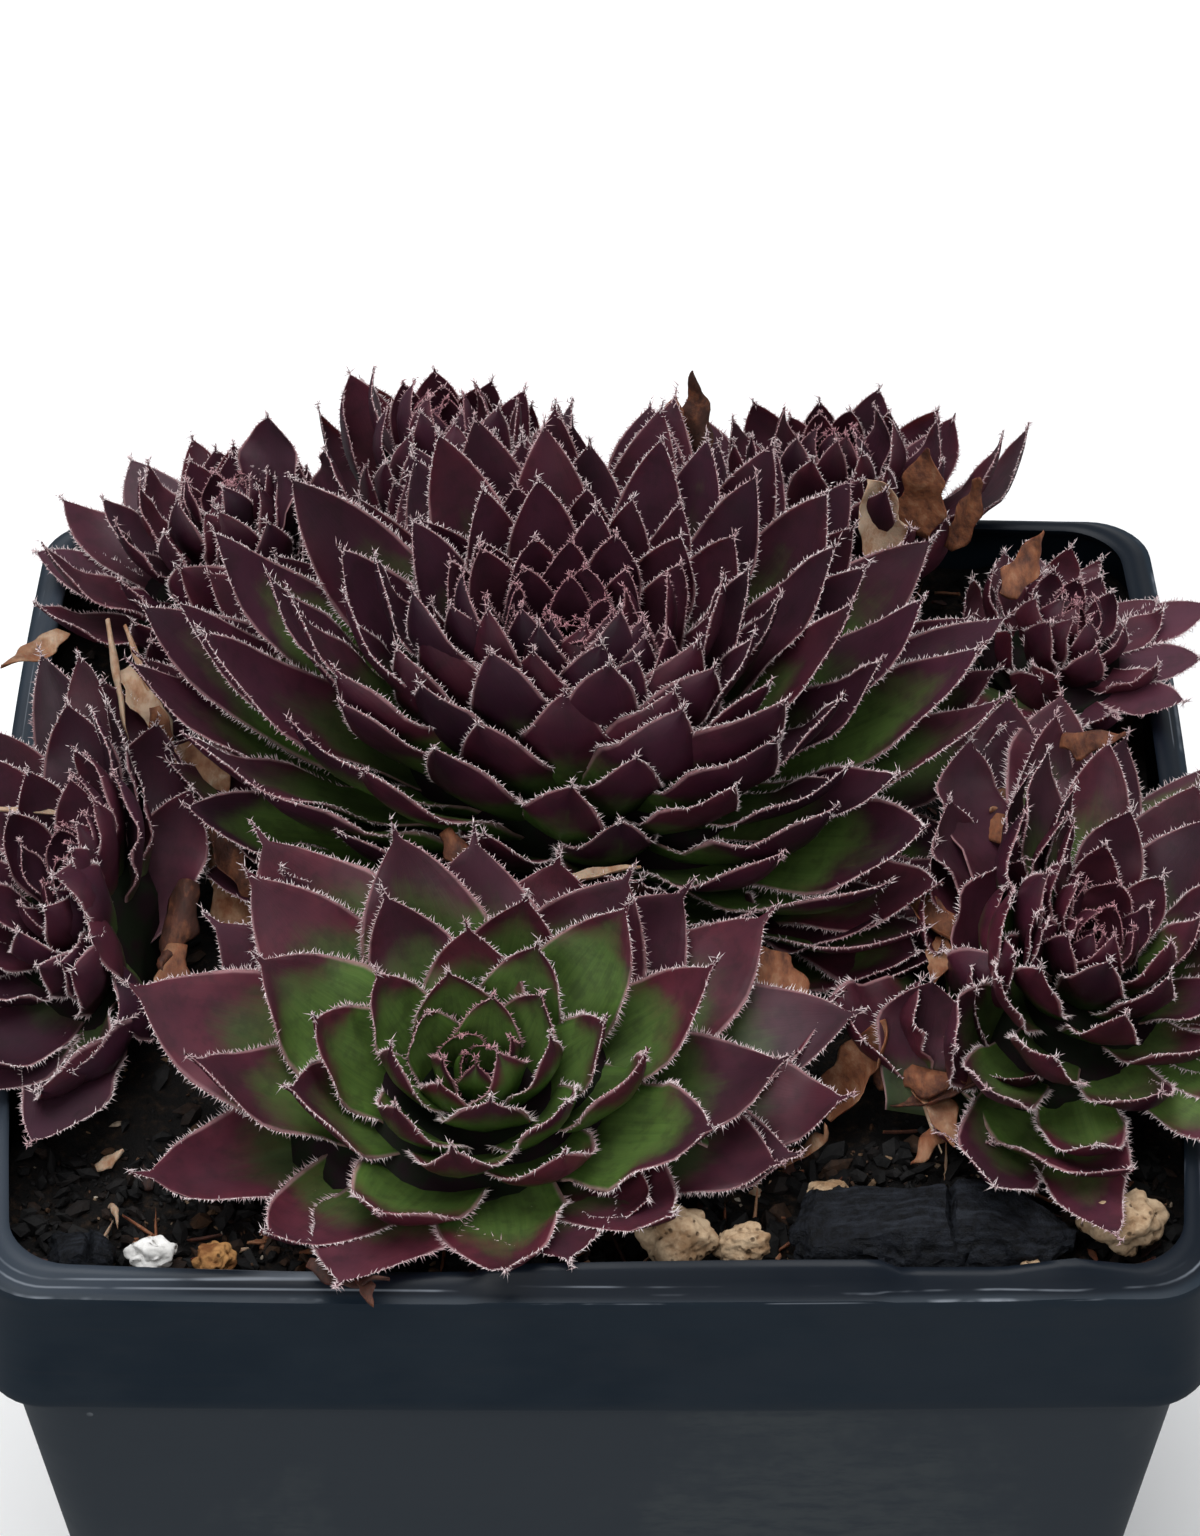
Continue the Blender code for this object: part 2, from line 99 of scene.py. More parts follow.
floor_mesh = bmesh.new()
bmesh.ops.create_grid(floor_mesh, x_segments=1, y_segments=1, size=3)
floor_data = bpy.data.meshes.new("floor")
floor_mesh.to_mesh(floor_data)
floor_mesh.free()
floor = bpy.data.objects.new("floor", floor_data)
bpy.context.scene.collection.objects.link(floor)
white = bpy.data.materials.new("floor_white")
white.use_nodes = True
white.node_tree.nodes["Principled BSDF"].inputs["Base Color"].default_value = (0.92, 0.92, 0.92, 1)
white.node_tree.nodes["Principled BSDF"].inputs["Roughness"].default_value = 0.9
floor_data.materials.append(white)
floor.visible_glossy = False
floor.visible_diffuse = False


# The pot: one sheet of black plastic drawn down into a square mould. Its wall tapers, the collar
# stands out over it, and a sloping shoulder runs round the mouth. It is thin, so the sides bow.
RIM_HALF = 44.5 * MM
POT_WALL = 0.9 * MM
FLOOR_THICK = 1.4 * MM
COLLAR_Z = RIM_Z - 12.3 * MM
COLLAR_STEP = 1.5 * MM
SHOULDER_RISE = 1.1 * MM
SHOULDER_INSET = 1.6 * MM
WALL_TAPER = math.tan(math.radians(8.3))
CORNER_SHARE = 0.100
SIDE_BULGE = 1.8 * MM
FRONT_BULGE = 0.7 * MM
DRAIN_RADIUS = 3.6 * MM
DRAIN_OUT = 25 * MM
PROUD_LEFT, PROUD_RIGHT, PROUD_LIFT = -8.8 * MM, 20.9 * MM, 0.75
GABLE_X, GABLE_HALF, GABLE_LIFT = 34.0, 5.0, 0.85
SIDE_CUTS = 59
RIM_INSIDE = RIM_HALF - SHOULDER_INSET - POT_WALL


def wall_half(z):
    """Half the outer width of the tapering wall at a height."""
    return RIM_HALF - COLLAR_STEP - (COLLAR_Z - z) * WALL_TAPER


def rim_lift(x, y):
    """How far the soft lip of the mouth has been bent up or down at a place, in metres."""
    lift = 0.22 * math.sin(x / MM * 0.11 + 0.5) + 0.12 * math.sin(y / MM * 0.16 + x / MM * 0.05)
    if y < -0.5 * RIM_HALF:
        if PROUD_LEFT < x < PROUD_RIGHT:
            lift += PROUD_LIFT
        lift += GABLE_LIFT * max(0, 1 - abs(x / MM - GABLE_X) / GABLE_HALF)
    return lift * MM


def pot_corner(corner, half, z, lip):
    """Where a corner of the pot's unit outline comes on the ring of a half width and height."""
    x, y = corner.x * half, corner.y * half
    bulge = (z / RIM_Z) ** 2
    x += math.copysign(SIDE_BULGE * bulge * corner.x**4 * max(0, 1 - corner.y**2), x)
    y += math.copysign(FRONT_BULGE * bulge * corner.y**4 * max(0, 1 - corner.x**2), y)
    return Vector((x, y, z + rim_lift(x, y) * lip))


def pot_shell():
    """The whole shell, extruded ring by ring up the outside, over the mouth and down to the floor."""
    # half width, height, how far the ring follows the bent lip
    rings = [
        (wall_half(0) - 1.6 * MM, 0.0, 0),
        (wall_half(0) - 0.6 * MM, 0.1 * MM, 0),
        (wall_half(0) - 0.1 * MM, 0.6 * MM, 0),
        (wall_half(1.6 * MM), 1.6 * MM, 0),
    ]
    rings += [(wall_half(z), z, 0) for z in np.linspace(8 * MM, COLLAR_Z - 0.8 * MM, 8)]
    rings += [
        (wall_half(COLLAR_Z) + 0.06 * MM, COLLAR_Z - 0.1 * MM, 0),
        (RIM_HALF - 0.55 * MM, COLLAR_Z - 0.32 * MM, 0),
        (RIM_HALF - 0.15 * MM, COLLAR_Z - 0.22 * MM, 0),
        (RIM_HALF, COLLAR_Z + 0.15 * MM, 0),
        (RIM_HALF - 0.05 * MM, COLLAR_Z + 0.9 * MM, 0),
        (RIM_HALF - 0.12 * MM, (COLLAR_Z + RIM_Z) / 2, 0),
        (RIM_HALF - 0.05 * MM, RIM_Z - 2.1 * MM, 0.1),
        (RIM_HALF, RIM_Z - 1.6 * MM, 0.15),
        (RIM_HALF - 0.08 * MM, RIM_Z - 1.25 * MM, 0.2),
        (RIM_HALF - 0.4 * MM, RIM_Z - 1.12 * MM, 0.25),
        (RIM_HALF - 0.65 * MM, RIM_Z - 0.95 * MM, 0.3),
        (RIM_HALF - 1.15 * MM, RIM_Z - 0.45 * MM, 0.45),
        (RIM_HALF - 1.5 * MM, RIM_Z - 0.12 * MM, 0.85),
        (RIM_HALF - 1.75 * MM, RIM_Z, 1),
        (RIM_INSIDE + 0.2 * MM, RIM_Z, 1),
        (RIM_INSIDE, RIM_Z - 0.2 * MM, 0.9),
        (RIM_INSIDE + 0.1 * MM, RIM_Z - 0.9 * MM, 0.3),
        (RIM_HALF - POT_WALL - 0.2 * MM, RIM_Z - SHOULDER_RISE - POT_WALL, 0),
        (RIM_HALF - POT_WALL, RIM_Z - 4 * MM, 0),
        (RIM_HALF - POT_WALL, COLLAR_Z + 1.9 * MM, 0),
        (wall_half(COLLAR_Z) - POT_WALL, COLLAR_Z + 1.0 * MM, 0),
        (wall_half(FLOOR_THICK) - POT_WALL, FLOOR_THICK, 0),
    ]
    mesh = bmesh.new()
    square = Matrix.Rotation(math.radians(45), 4, "Z")
    bmesh.ops.create_circle(mesh, cap_ends=True, segments=4, radius=math.sqrt(2), matrix=square)
    bmesh.ops.bevel(
        mesh, geom=mesh.verts, affect="VERTICES", offset=CORNER_SHARE, segments=9, profile=0.5,
        material=-1,
    )
    sides = [e for e in mesh.edges if e.calc_length() > 1]
    bmesh.ops.subdivide_edges(mesh, edges=sides, cuts=SIDE_CUTS)
    top = mesh.faces[:][0]
    outline = [v.co.copy() for v in top.verts]
    for vert, corner in zip(top.verts, outline):
        vert.co = pot_corner(corner, *rings[0])
    for ring in rings[1:]:
        top = bmesh.ops.extrude_discrete_faces(mesh, faces=[top])["faces"][0]
        for vert, corner in zip(top.verts, outline):
            vert.co = pot_corner(corner, *ring)
    bmesh.ops.holes_fill(mesh, edges=[e for e in mesh.edges if e.is_boundary])
    bmesh.ops.recalc_face_normals(mesh, faces=mesh.faces)
    return mesh


def piece(name, mesh, material, replaced=(), sharp=None):
    """A finished piece from a bmesh or mesh data, riding on the pot, for the CAD nodes it replaces."""
    data = mesh
    if isinstance(mesh, bmesh.types.BMesh):
        data = bpy.data.meshes.new(name)
        mesh.to_mesh(data)
        mesh.free()
    data.materials.append(material)
    made = bpy.data.objects.new(name, data)
    bpy.context.scene.collection.objects.link(made)
    if sharp is not None:
        data.shade_smooth()
        data.set_sharp_from_angle(angle=math.radians(sharp))
    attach(made, "root")
    if replaced:
        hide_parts(*replaced)
    return made


class Value:
    """A number, colour or vector in a material. Python's operators on it add the Math nodes."""

    def __init__(self, paint, socket):
        self.paint = paint
        self.socket = socket

    def math(self, operation, *values):
        sockets = dict(enumerate(values))
        return self.paint.node("ShaderNodeMath", {"operation": operation}, sockets)

    def __add__(self, other):
        return self.math("ADD", self, other)

    def __sub__(self, other):
        return self.math("SUBTRACT", self, other)

    def __rsub__(self, other):
        return self.math("SUBTRACT", other, self)

    def __mul__(self, other):
        return self.math("MULTIPLY", self, other)

    __radd__ = __add__
    __rmul__ = __mul__

    def between(self, low, high):
        """0 below one value and 1 above another, with a soft step from one to the other."""
        sockets = {"Value": self, "From Min": low, "From Max": high}
        return self.paint.node("ShaderNodeMapRange", {"interpolation_type": "SMOOTHSTEP"}, sockets)

    def part(self, axis):
        """One of the three numbers of a vector."""
        return self.paint.node("ShaderNodeSeparateXYZ", {}, {"Vector": self}, axis)

    def scaled(self, *factors):
        """A vector stretched by a factor along each axis."""
        sockets = {0: self, 1: factors}
        return self.paint.node("ShaderNodeVectorMath", {"operation": "MULTIPLY"}, sockets)


class Paint:
    """A material built round a Principled shader, with one method for every other node."""

    def __init__(self, name, **constants):
        self.material = bpy.data.materials.new(name)
        self.material.use_nodes = True
        self.tree = self.material.node_tree
        self.shader = self.tree.nodes["Principled BSDF"]
        for socket, value in constants.items():
            self.shader.inputs[socket.replace("_", " ")].default_value = value

    def feed(self, socket, value):
        """Put a number, a colour or a link into a socket."""
        if isinstance(value, Value):
            self.tree.links.new(value.socket, socket)
        elif isinstance(value, tuple) and socket.type == "RGBA":
            socket.default_value = (*value, 1)
        else:
            socket.default_value = value

    def node(self, kind, settings, sockets, output=0):
        """Add a node: its settings first, then its sockets. Gives back one of its outputs."""
        made = self.tree.nodes.new(kind)
        for name, setting in settings.items():
            if name == "stops":
                ramp = made.color_ramp.elements
                while len(ramp) < len(setting):
                    ramp.new(0.5)
                for stop, (place, colour) in zip(ramp, setting):
                    stop.position = place
                    stop.color = (*colour, 1)
            else:
                setattr(made, name, setting)
        for name, value in sockets.items():
            self.feed(made.inputs[name], value)
        return Value(self, made.outputs[output])

    def labelled(self, name, output="Fac"):
        """What the mesh carries under a name: a number, or a vector from the Vector output."""
        return self.node("ShaderNodeAttribute", {"attribute_name": name}, {}, output)

    def place(self):
        """The place on the piece, in metres in the model's frame."""
        return self.node("ShaderNodeTexCoord", {}, {}, "Object")

    def noise(self, place, scale, detail=2.0, rough=0.5):
        """A soft random pattern about 0.5, with a number of patches to the metre."""
        sockets = {"Vector": place, "Scale": scale, "Detail": detail, "Roughness": rough}
        return self.node("ShaderNodeTexNoise", {}, sockets, "Fac")

    def cells(self, place, scale):
        """How far a place is from its random cell's middle, with a number of cells to the metre."""
        return self.node("ShaderNodeTexVoronoi", {}, {"Vector": place, "Scale": scale}, "Distance")

    def mix(self, share, first, second):
        """One colour passing into another."""
        sockets = {0: share, 6: first, 7: second}
        return self.node("ShaderNodeMix", {"data_type": "RGBA"}, sockets, 2)

    def ramp(self, value, *stops):
        """A colour read off a scale."""
        return self.node("ShaderNodeValToRGB", {"stops": stops}, {"Fac": value}, "Color")

    def bump(self, height, strength, distance):
        """Fine relief of a depth in metres."""
        sockets = {"Height": height, "Strength": strength, "Distance": distance}
        self.feed(self.shader.inputs["Normal"], self.node("ShaderNodeBump", {}, sockets, "Normal"))

    def finish(self, colour, roughness):
        """Give the shader its colour and its roughness."""
        self.feed(self.shader.inputs["Base Color"], colour)
        self.feed(self.shader.inputs["Roughness"], roughness)
        return self.material


def pot_paint():
    """Black plastic gone slate grey: brushed along, blotched by water, with chalky scratches; painted
    shade and a painted highlight on the shoulder, and painted highlight lines along the lip.
    """
    paint = Paint("pot_plastic", Specular_IOR_Level=0.17)
    place = paint.place()
    blotch = paint.noise(place.scaled(1, 1, 1.5), 60, 4, 0.62)
    brushed = paint.noise(place.scaled(0.06, 0.06, 1), 1500, 3, 0.6)
    fine = paint.noise(place.scaled(0.3, 0.3, 1), 900, 4, 0.7)
    stain = paint.noise(place.scaled(1, 1, 0.7), 28, 6, 0.68).between(0.50, 0.60)
    low = 1 - place.part("Z").between(COLLAR_Z - 3 * MM, COLLAR_Z + 1 * MM)
    speck = 1 - paint.cells(place, 260).between(0.05, 0.10)
    rare = paint.noise(place, 45, 1).between(0.58, 0.66)
    scratch = 1 - paint.cells(place.scaled(0.16, 0.16, 1), 420).between(0.03, 0.07)
    scored = paint.noise(place, 90, 1).between(0.60, 0.66)
    chalk = (speck * rare + scratch * scored).between(0.2, 0.9) * 0.6
    body = paint.mix(blotch.between(0.35, 0.65), (0.0075, 0.0150, 0.0245), (0.0125, 0.0210, 0.0310))
    body = paint.mix(brushed.between(0.50, 0.80) * 0.40, body, (0.017, 0.021, 0.027))
    body = paint.mix(low * 0.85, body, (0.036, 0.044, 0.053))
    body = paint.mix(stain * low * fine.between(0.3, 0.6) * 0.8, body, (0.052, 0.061, 0.066))
    worn = paint.noise(place.scaled(0.5, 0.5, 1), 70, 5, 0.7).between(0.46, 0.62)
    body = paint.mix(worn * (1 - low) * 0.35, body, (0.020, 0.026, 0.034))
    height = place.part("Z") - RIM_Z
    # Painted light on the shoulder round the mouth: painted shade over most of the band, and a painted
    # highlight towards its left end.
    lit_left_side = 1 - place.part("X").between(-36 * MM, -27 * MM)
    shoulder = height.between(-1.2 * MM, -0.9 * MM)
    body = paint.mix(shoulder * (1 - lit_left_side) * 0.75, body, (0.0016, 0.0034, 0.0075))
    body = paint.mix(shoulder * lit_left_side * 0.6, body, (0.040, 0.050, 0.066))
    # Painted highlights: broken pale lines along the edges of the shoulder and the lip.
    for level, wander in ((-1.22 * MM, 160), (-0.78 * MM, 110), (-0.36 * MM, 75)):
        broken_highlight = paint.noise(place.scaled(0.5, 0.5, 1.5), wander, 4, 0.65).between(0.50, 0.60)
        line = height.between(level - 0.09 * MM, level) * (1 - height.between(level, level + 0.09 * MM))
        body = paint.mix(line * broken_highlight * 0.8, body, (0.17, 0.19, 0.22))
    paint.bump(brushed * 0.6 + blotch * 0.4, 0.15, 0.1 * MM)
    rough = 0.34 + blotch.between(0.3, 0.7) * 0.12 + low * 0.12 + stain * 0.06 + chalk * 0.2
    return paint.finish(paint.mix(chalk, body, (0.30, 0.32, 0.34)), rough)


pot_piece = piece("nursery_pot", pot_shell(), pot_paint(), ["pot"], sharp=50)
for corner in range(4):
    turn = Matrix.Rotation(math.radians(45 + 90 * corner), 4, "Z")
    drill_mesh = bmesh.new()
    bmesh.ops.create_cone(
        drill_mesh, cap_ends=True, segments=32, radius1=DRAIN_RADIUS, radius2=DRAIN_RADIUS,
        depth=FLOOR_THICK * 4, matrix=turn @ Matrix.Translation((DRAIN_OUT, 0, 0)),
    )
    drill_data = bpy.data.meshes.new("drill")
    drill_mesh.to_mesh(drill_data)
    drill_mesh.free()
    drill = bpy.data.objects.new("drill", drill_data)
    bpy.context.scene.collection.objects.link(drill)
    cut = pot_piece.modifiers.new("drain", "BOOLEAN")
    cut.operation = "DIFFERENCE"
    cut.object = drill
    cut_graph = bpy.context.evaluated_depsgraph_get()
    drained = bpy.data.meshes.new_from_object(pot_piece.evaluated_get(cut_graph))
    pot_piece.modifiers.clear()
    pot_piece.data = drained
    bpy.data.objects.remove(drill)


# The growing mix: damp black bark, peat and grit that fills the pot to just under its rim, with a
# crumbly top. The block is one mesh; the crumbs that lie on it are another.
SOIL_Z = RIM_Z - 5.0 * MM
SOIL_LUMP = 0.45 * MM
CLEAR = 0.3 * MM
MIX_HALF = RIM_HALF - POT_WALL - CLEAR
MIX_CORNER = 4.2 * MM
CRUMBS = 5200


def in_square(x, y, half, radius):
    """A point of a unit square moved into a square with rounded corners."""
    x, y = x * half, y * half
    past_x, past_y = abs(x) - half + radius, abs(y) - half + radius
    if past_x > 0 and past_y > 0:
        reach = max(past_x, past_y) / math.hypot(past_x, past_y)
        x = math.copysign(half - radius + past_x * reach, x)
        y = math.copysign(half - radius + past_y * reach, y)
    return x, y


def mix_top(x, y):
    """The height of the mix: slow swells, clods and crumbs."""
    swell = math.sin(x / MM * 0.31 + 0.7) * math.cos(y / MM * 0.27 - 0.4)
    clod = noise.noise(Vector((x, y, 0)) / (3.1 * MM))
    crumb = noise.noise(Vector((x, y, 5 * MM)) / (0.9 * MM))
    return SOIL_Z + SOIL_LUMP * swell * 0.6 + (0.9 * clod + 0.35 * crumb) * 0.6 * MM


def mix_block():
    """The block: a fine lumpy top, extruded down to the floor of the pot."""
    mesh = bmesh.new()
    bmesh.ops.create_grid(mesh, x_segments=150, y_segments=150, size=1)
    for vert in mesh.verts:
        x, y = in_square(vert.co.x, vert.co.y, MIX_HALF, MIX_CORNER)
        vert.co = (x, y, mix_top(x, y))
    edge = [e for e in mesh.edges if e.is_boundary]
    for z, half in (
        (COLLAR_Z + 2.2 * MM, MIX_HALF),
        (COLLAR_Z + 1.9 * MM, wall_half(COLLAR_Z) - POT_WALL - CLEAR),
        (FLOOR_THICK + CLEAR, wall_half(FLOOR_THICK) - POT_WALL - CLEAR),
    ):
        lower = bmesh.ops.extrude_edge_only(mesh, edges=edge)["geom"]
        rim = [v for v in lower if isinstance(v, bmesh.types.BMVert)]
        far = max(abs(v.co.x) for v in rim)
        for vert in rim:
            vert.co = (vert.co.x * half / far, vert.co.y * half / far, z)
        edge = [e for e in lower if isinstance(e, bmesh.types.BMEdge) and e.is_boundary]
    bmesh.ops.holes_fill(mesh, edges=edge)
    bmesh.ops.recalc_face_normals(mesh, faces=mesh.faces)
    return mesh


def repeated(shape, count):
    """Mesh data of one shape many times over, and the corners of that shape as an array."""
    blank = bpy.data.meshes.new("blank")
    shape.to_mesh(blank)
    shape.free()
    mesh = bmesh.new()
    for _ in range(count):
        mesh.from_mesh(blank)
    data = bpy.data.meshes.new("copies")
    mesh.to_mesh(data)
    mesh.free()
    corners = np.empty(len(blank.vertices) * 3)
    blank.vertices.foreach_get("co", corners)
    bpy.data.meshes.remove(blank)
    return data, corners.reshape(-1, 3)


def place_corners(data, points):
    """Move every corner of a mesh to its point and smooth the mesh."""
    data.vertices.foreach_set("co", np.asarray(points, np.float32).ravel())
    data.shade_smooth()
    data.update()


def label(data, name, kind, values):
    """Store a number or a vector at every corner of a mesh, for its material to read."""
    channel = data.attributes.new(name, kind, "POINT")
    field = "value" if kind == "FLOAT" else "vector"
    channel.data.foreach_set(field, np.asarray(values, np.float32).ravel())


def crumbs(count, seed):
    """Angular crumbs of bark, peat and grit strewn over the mix, thickest along the front."""
    strew = random.Random(seed)
    shape = bmesh.new()
    bmesh.ops.create_icosphere(shape, subdivisions=1, radius=0.5)
    data, corners = repeated(shape, count)
    points, shades = [], []
    for _ in range(count):
        x, y = in_square(strew.uniform(-1, 1), strew.uniform(-1, 1), MIX_HALF - 1 * MM, MIX_CORNER)
        if strew.random() < 0.6:
            y = strew.uniform(-1, -0.60) * (MIX_HALF - 1 * MM)
        size = MM * (0.35 + 2.6 * strew.random() ** 3.6)
        stretch = np.array((1, strew.uniform(0.25, 0.75), strew.uniform(0.25, 0.65)))
        jag = np.array([[strew.uniform(0.6, 1.4) for _ in range(3)] for _ in corners])
        tilt = Euler([strew.uniform(-0.7, 0.7), strew.uniform(-0.7, 0.7), strew.uniform(0, 6.3)])
        middle = np.array((x, y, mix_top(x, y) + size * 0.12))
        points.append((corners * jag * stretch * size) @ np.array(tilt.to_matrix()).T + middle)
        shades.append(np.full(len(corners), strew.random() * (0.86 if size > 1.5 * MM else 1)))
    place_corners(data, np.concatenate(points))
    data.shade_flat()
    label(data, "shade", "FLOAT", np.concatenate(shades))
    return data


def mix_paint():
    """Wet black bark and peat with a few brown shreds."""
    paint = Paint("growing_mix", Specular_IOR_Level=0.2)
    place = paint.place()
    grain = paint.noise(place, 900, 6, 0.7)
    colour = paint.ramp(
        grain, (0.34, (0.0010, 0.0009, 0.0010)), (0.52, (0.0040, 0.0030, 0.0026)),
        (0.62, (0.017, 0.010, 0.006)), (0.76, (0.055, 0.034, 0.020)),
    )
    paint.bump(grain, 1.0, 0.8 * MM)
    return paint.finish(colour, 0.60 + grain * 0.4)


def crumb_paint():
    """Each crumb has its own shade: black char, brown bark, and now and then tan or white grit."""
    paint = Paint("mix_crumbs", Specular_IOR_Level=0.25)
    shade = paint.labelled("shade")
    grain = paint.noise(paint.place(), 1500, 4, 0.65)
    colour = paint.ramp(
        shade, (0.0, (0.0008, 0.0008, 0.0011)), (0.62, (0.0036, 0.0028, 0.0028)),
        (0.76, (0.020, 0.010, 0.006)), (0.87, (0.075, 0.036, 0.017)),
        (0.95, (0.22, 0.14, 0.08)), (0.99, (0.50, 0.44, 0.36)),
    )
    colour = paint.mix(grain.between(0.35, 0.75) * 0.7, colour, (0.004, 0.004, 0.004))
    paint.bump(grain, 0.6, 0.2 * MM)
    return paint.finish(colour, 0.75)


piece("growing_mix", mix_block(), mix_paint(), ["soil"], sharp=180)
piece("mix_crumbs", crumbs(CRUMBS, 3), crumb_paint())


# The rosettes: fleshy pointed leaves set by the golden turn round a short stem, eight heads pressed
# together so that their neighbours flatten and bend them. One piece for each head.
SIDE_REACH = 57 * MM
END_REACH = 49 * MM
RIM_SLOPE = math.tan(math.radians(15))
GOLDEN_TURN = math.radians(137.508)
CROWDED = 0.22
CORE_SHARE = 0.40
CORE_SIDES = 16
GRIP = 12
HEM_FILL = 1.3
PRESS_DEPTH = 1.2 * MM
STEM_RADIUS = 2.6 * MM
STEM_DEPTH = 12 * MM
LEAF_SIDES = 16
LEAF_RINGS = 15

# foot: where the stem leaves the mix (mm right, mm back). lean_to, lean: the way and the angle it
# leans (degrees). length, width: of the oldest and the youngest leaf (mm). rise: how steeply the
# oldest leaves climb; cup: how much each curls up (degrees). stem: how far the youngest leaf stands
# above the oldest (mm). turn, start: the spiral's hand and phase. green: how much of the oldest and
# the youngest leaf is green. broad: where a leaf is widest; point: how long a point it narrows to;
# red: its warmth.
ROSETTES = {
    "rosette_main": dict(
        foot=(-1.8, 8.0), lean_to=-90, lean=8, leaves=168, length=(46, 10.5), width=(9.4, 3.6),
        rise=9, cup=24, stem=12, turn=1, start=20, green=(0.80, 0.36), broad=0.72, point=0.16,
        red=0.22,
    ),
    "rosette_front": dict(
        foot=(-8.7, -24.0), lean_to=-90, lean=13, leaves=52, length=(30, 5.5), width=(13.6, 3.2),
        rise=8, cup=16, stem=3.0, turn=-1, start=4, green=(0.58, 0.86), broad=0.60, point=0.28,
        red=0.46,
    ),
    "rosette_left": dict(
        foot=(-35.5, -6.5), lean_to=215, lean=16, leaves=70, length=(26, 6), width=(8.0, 2.8),
        rise=12, cup=24, stem=5, turn=1, start=6, green=(0.50, 0.35), broad=0.70, point=0.18,
        red=0.26,
    ),
    "rosette_right": dict(
        foot=(34.0, -12.5), lean_to=-20, lean=14, leaves=66, length=(26, 6), width=(8.4, 2.8),
        rise=10, cup=24, stem=3.5, turn=-1, start=40, green=(0.70, 0.50), broad=0.70, point=0.18,
        red=0.36,
    ),
    "rosette_back_left": dict(
        foot=(-26.5, 31.0), lean_to=120, lean=12, leaves=60, length=(20, 6), width=(6.2, 2.8),
        rise=20, cup=22, stem=8, turn=1, start=75, green=(0.25, 0.15), broad=0.70, point=0.16,
        red=0.25,
    ),
    "rosette_back": dict(
        foot=(-12.5, 37.5), lean_to=95, lean=4, leaves=42, length=(20, 9), width=(6.0, 2.8),
        rise=36, cup=20, stem=10, turn=-1, start=10, green=(0.2, 0.15), broad=0.70, point=0.14,
        red=0.30,
    ),
    "rosette_back_right": dict(
        foot=(18.5, 36.5), lean_to=70, lean=6, leaves=48, length=(20, 8), width=(6.2, 2.8),
        rise=30, cup=20, stem=8, turn=1, start=50, green=(0.2, 0.15), broad=0.70, point=0.14,
        red=0.35,
    ),
    "rosette_far_right": dict(
        foot=(35.0, 25.0), lean_to=25, lean=14, leaves=34, length=(13, 5), width=(5.0, 2.2),
        rise=20, cup=22, stem=3.5, turn=-1, start=0, green=(0.2, 0.2), broad=0.70, point=0.16,
        red=0.40,
    ),
}

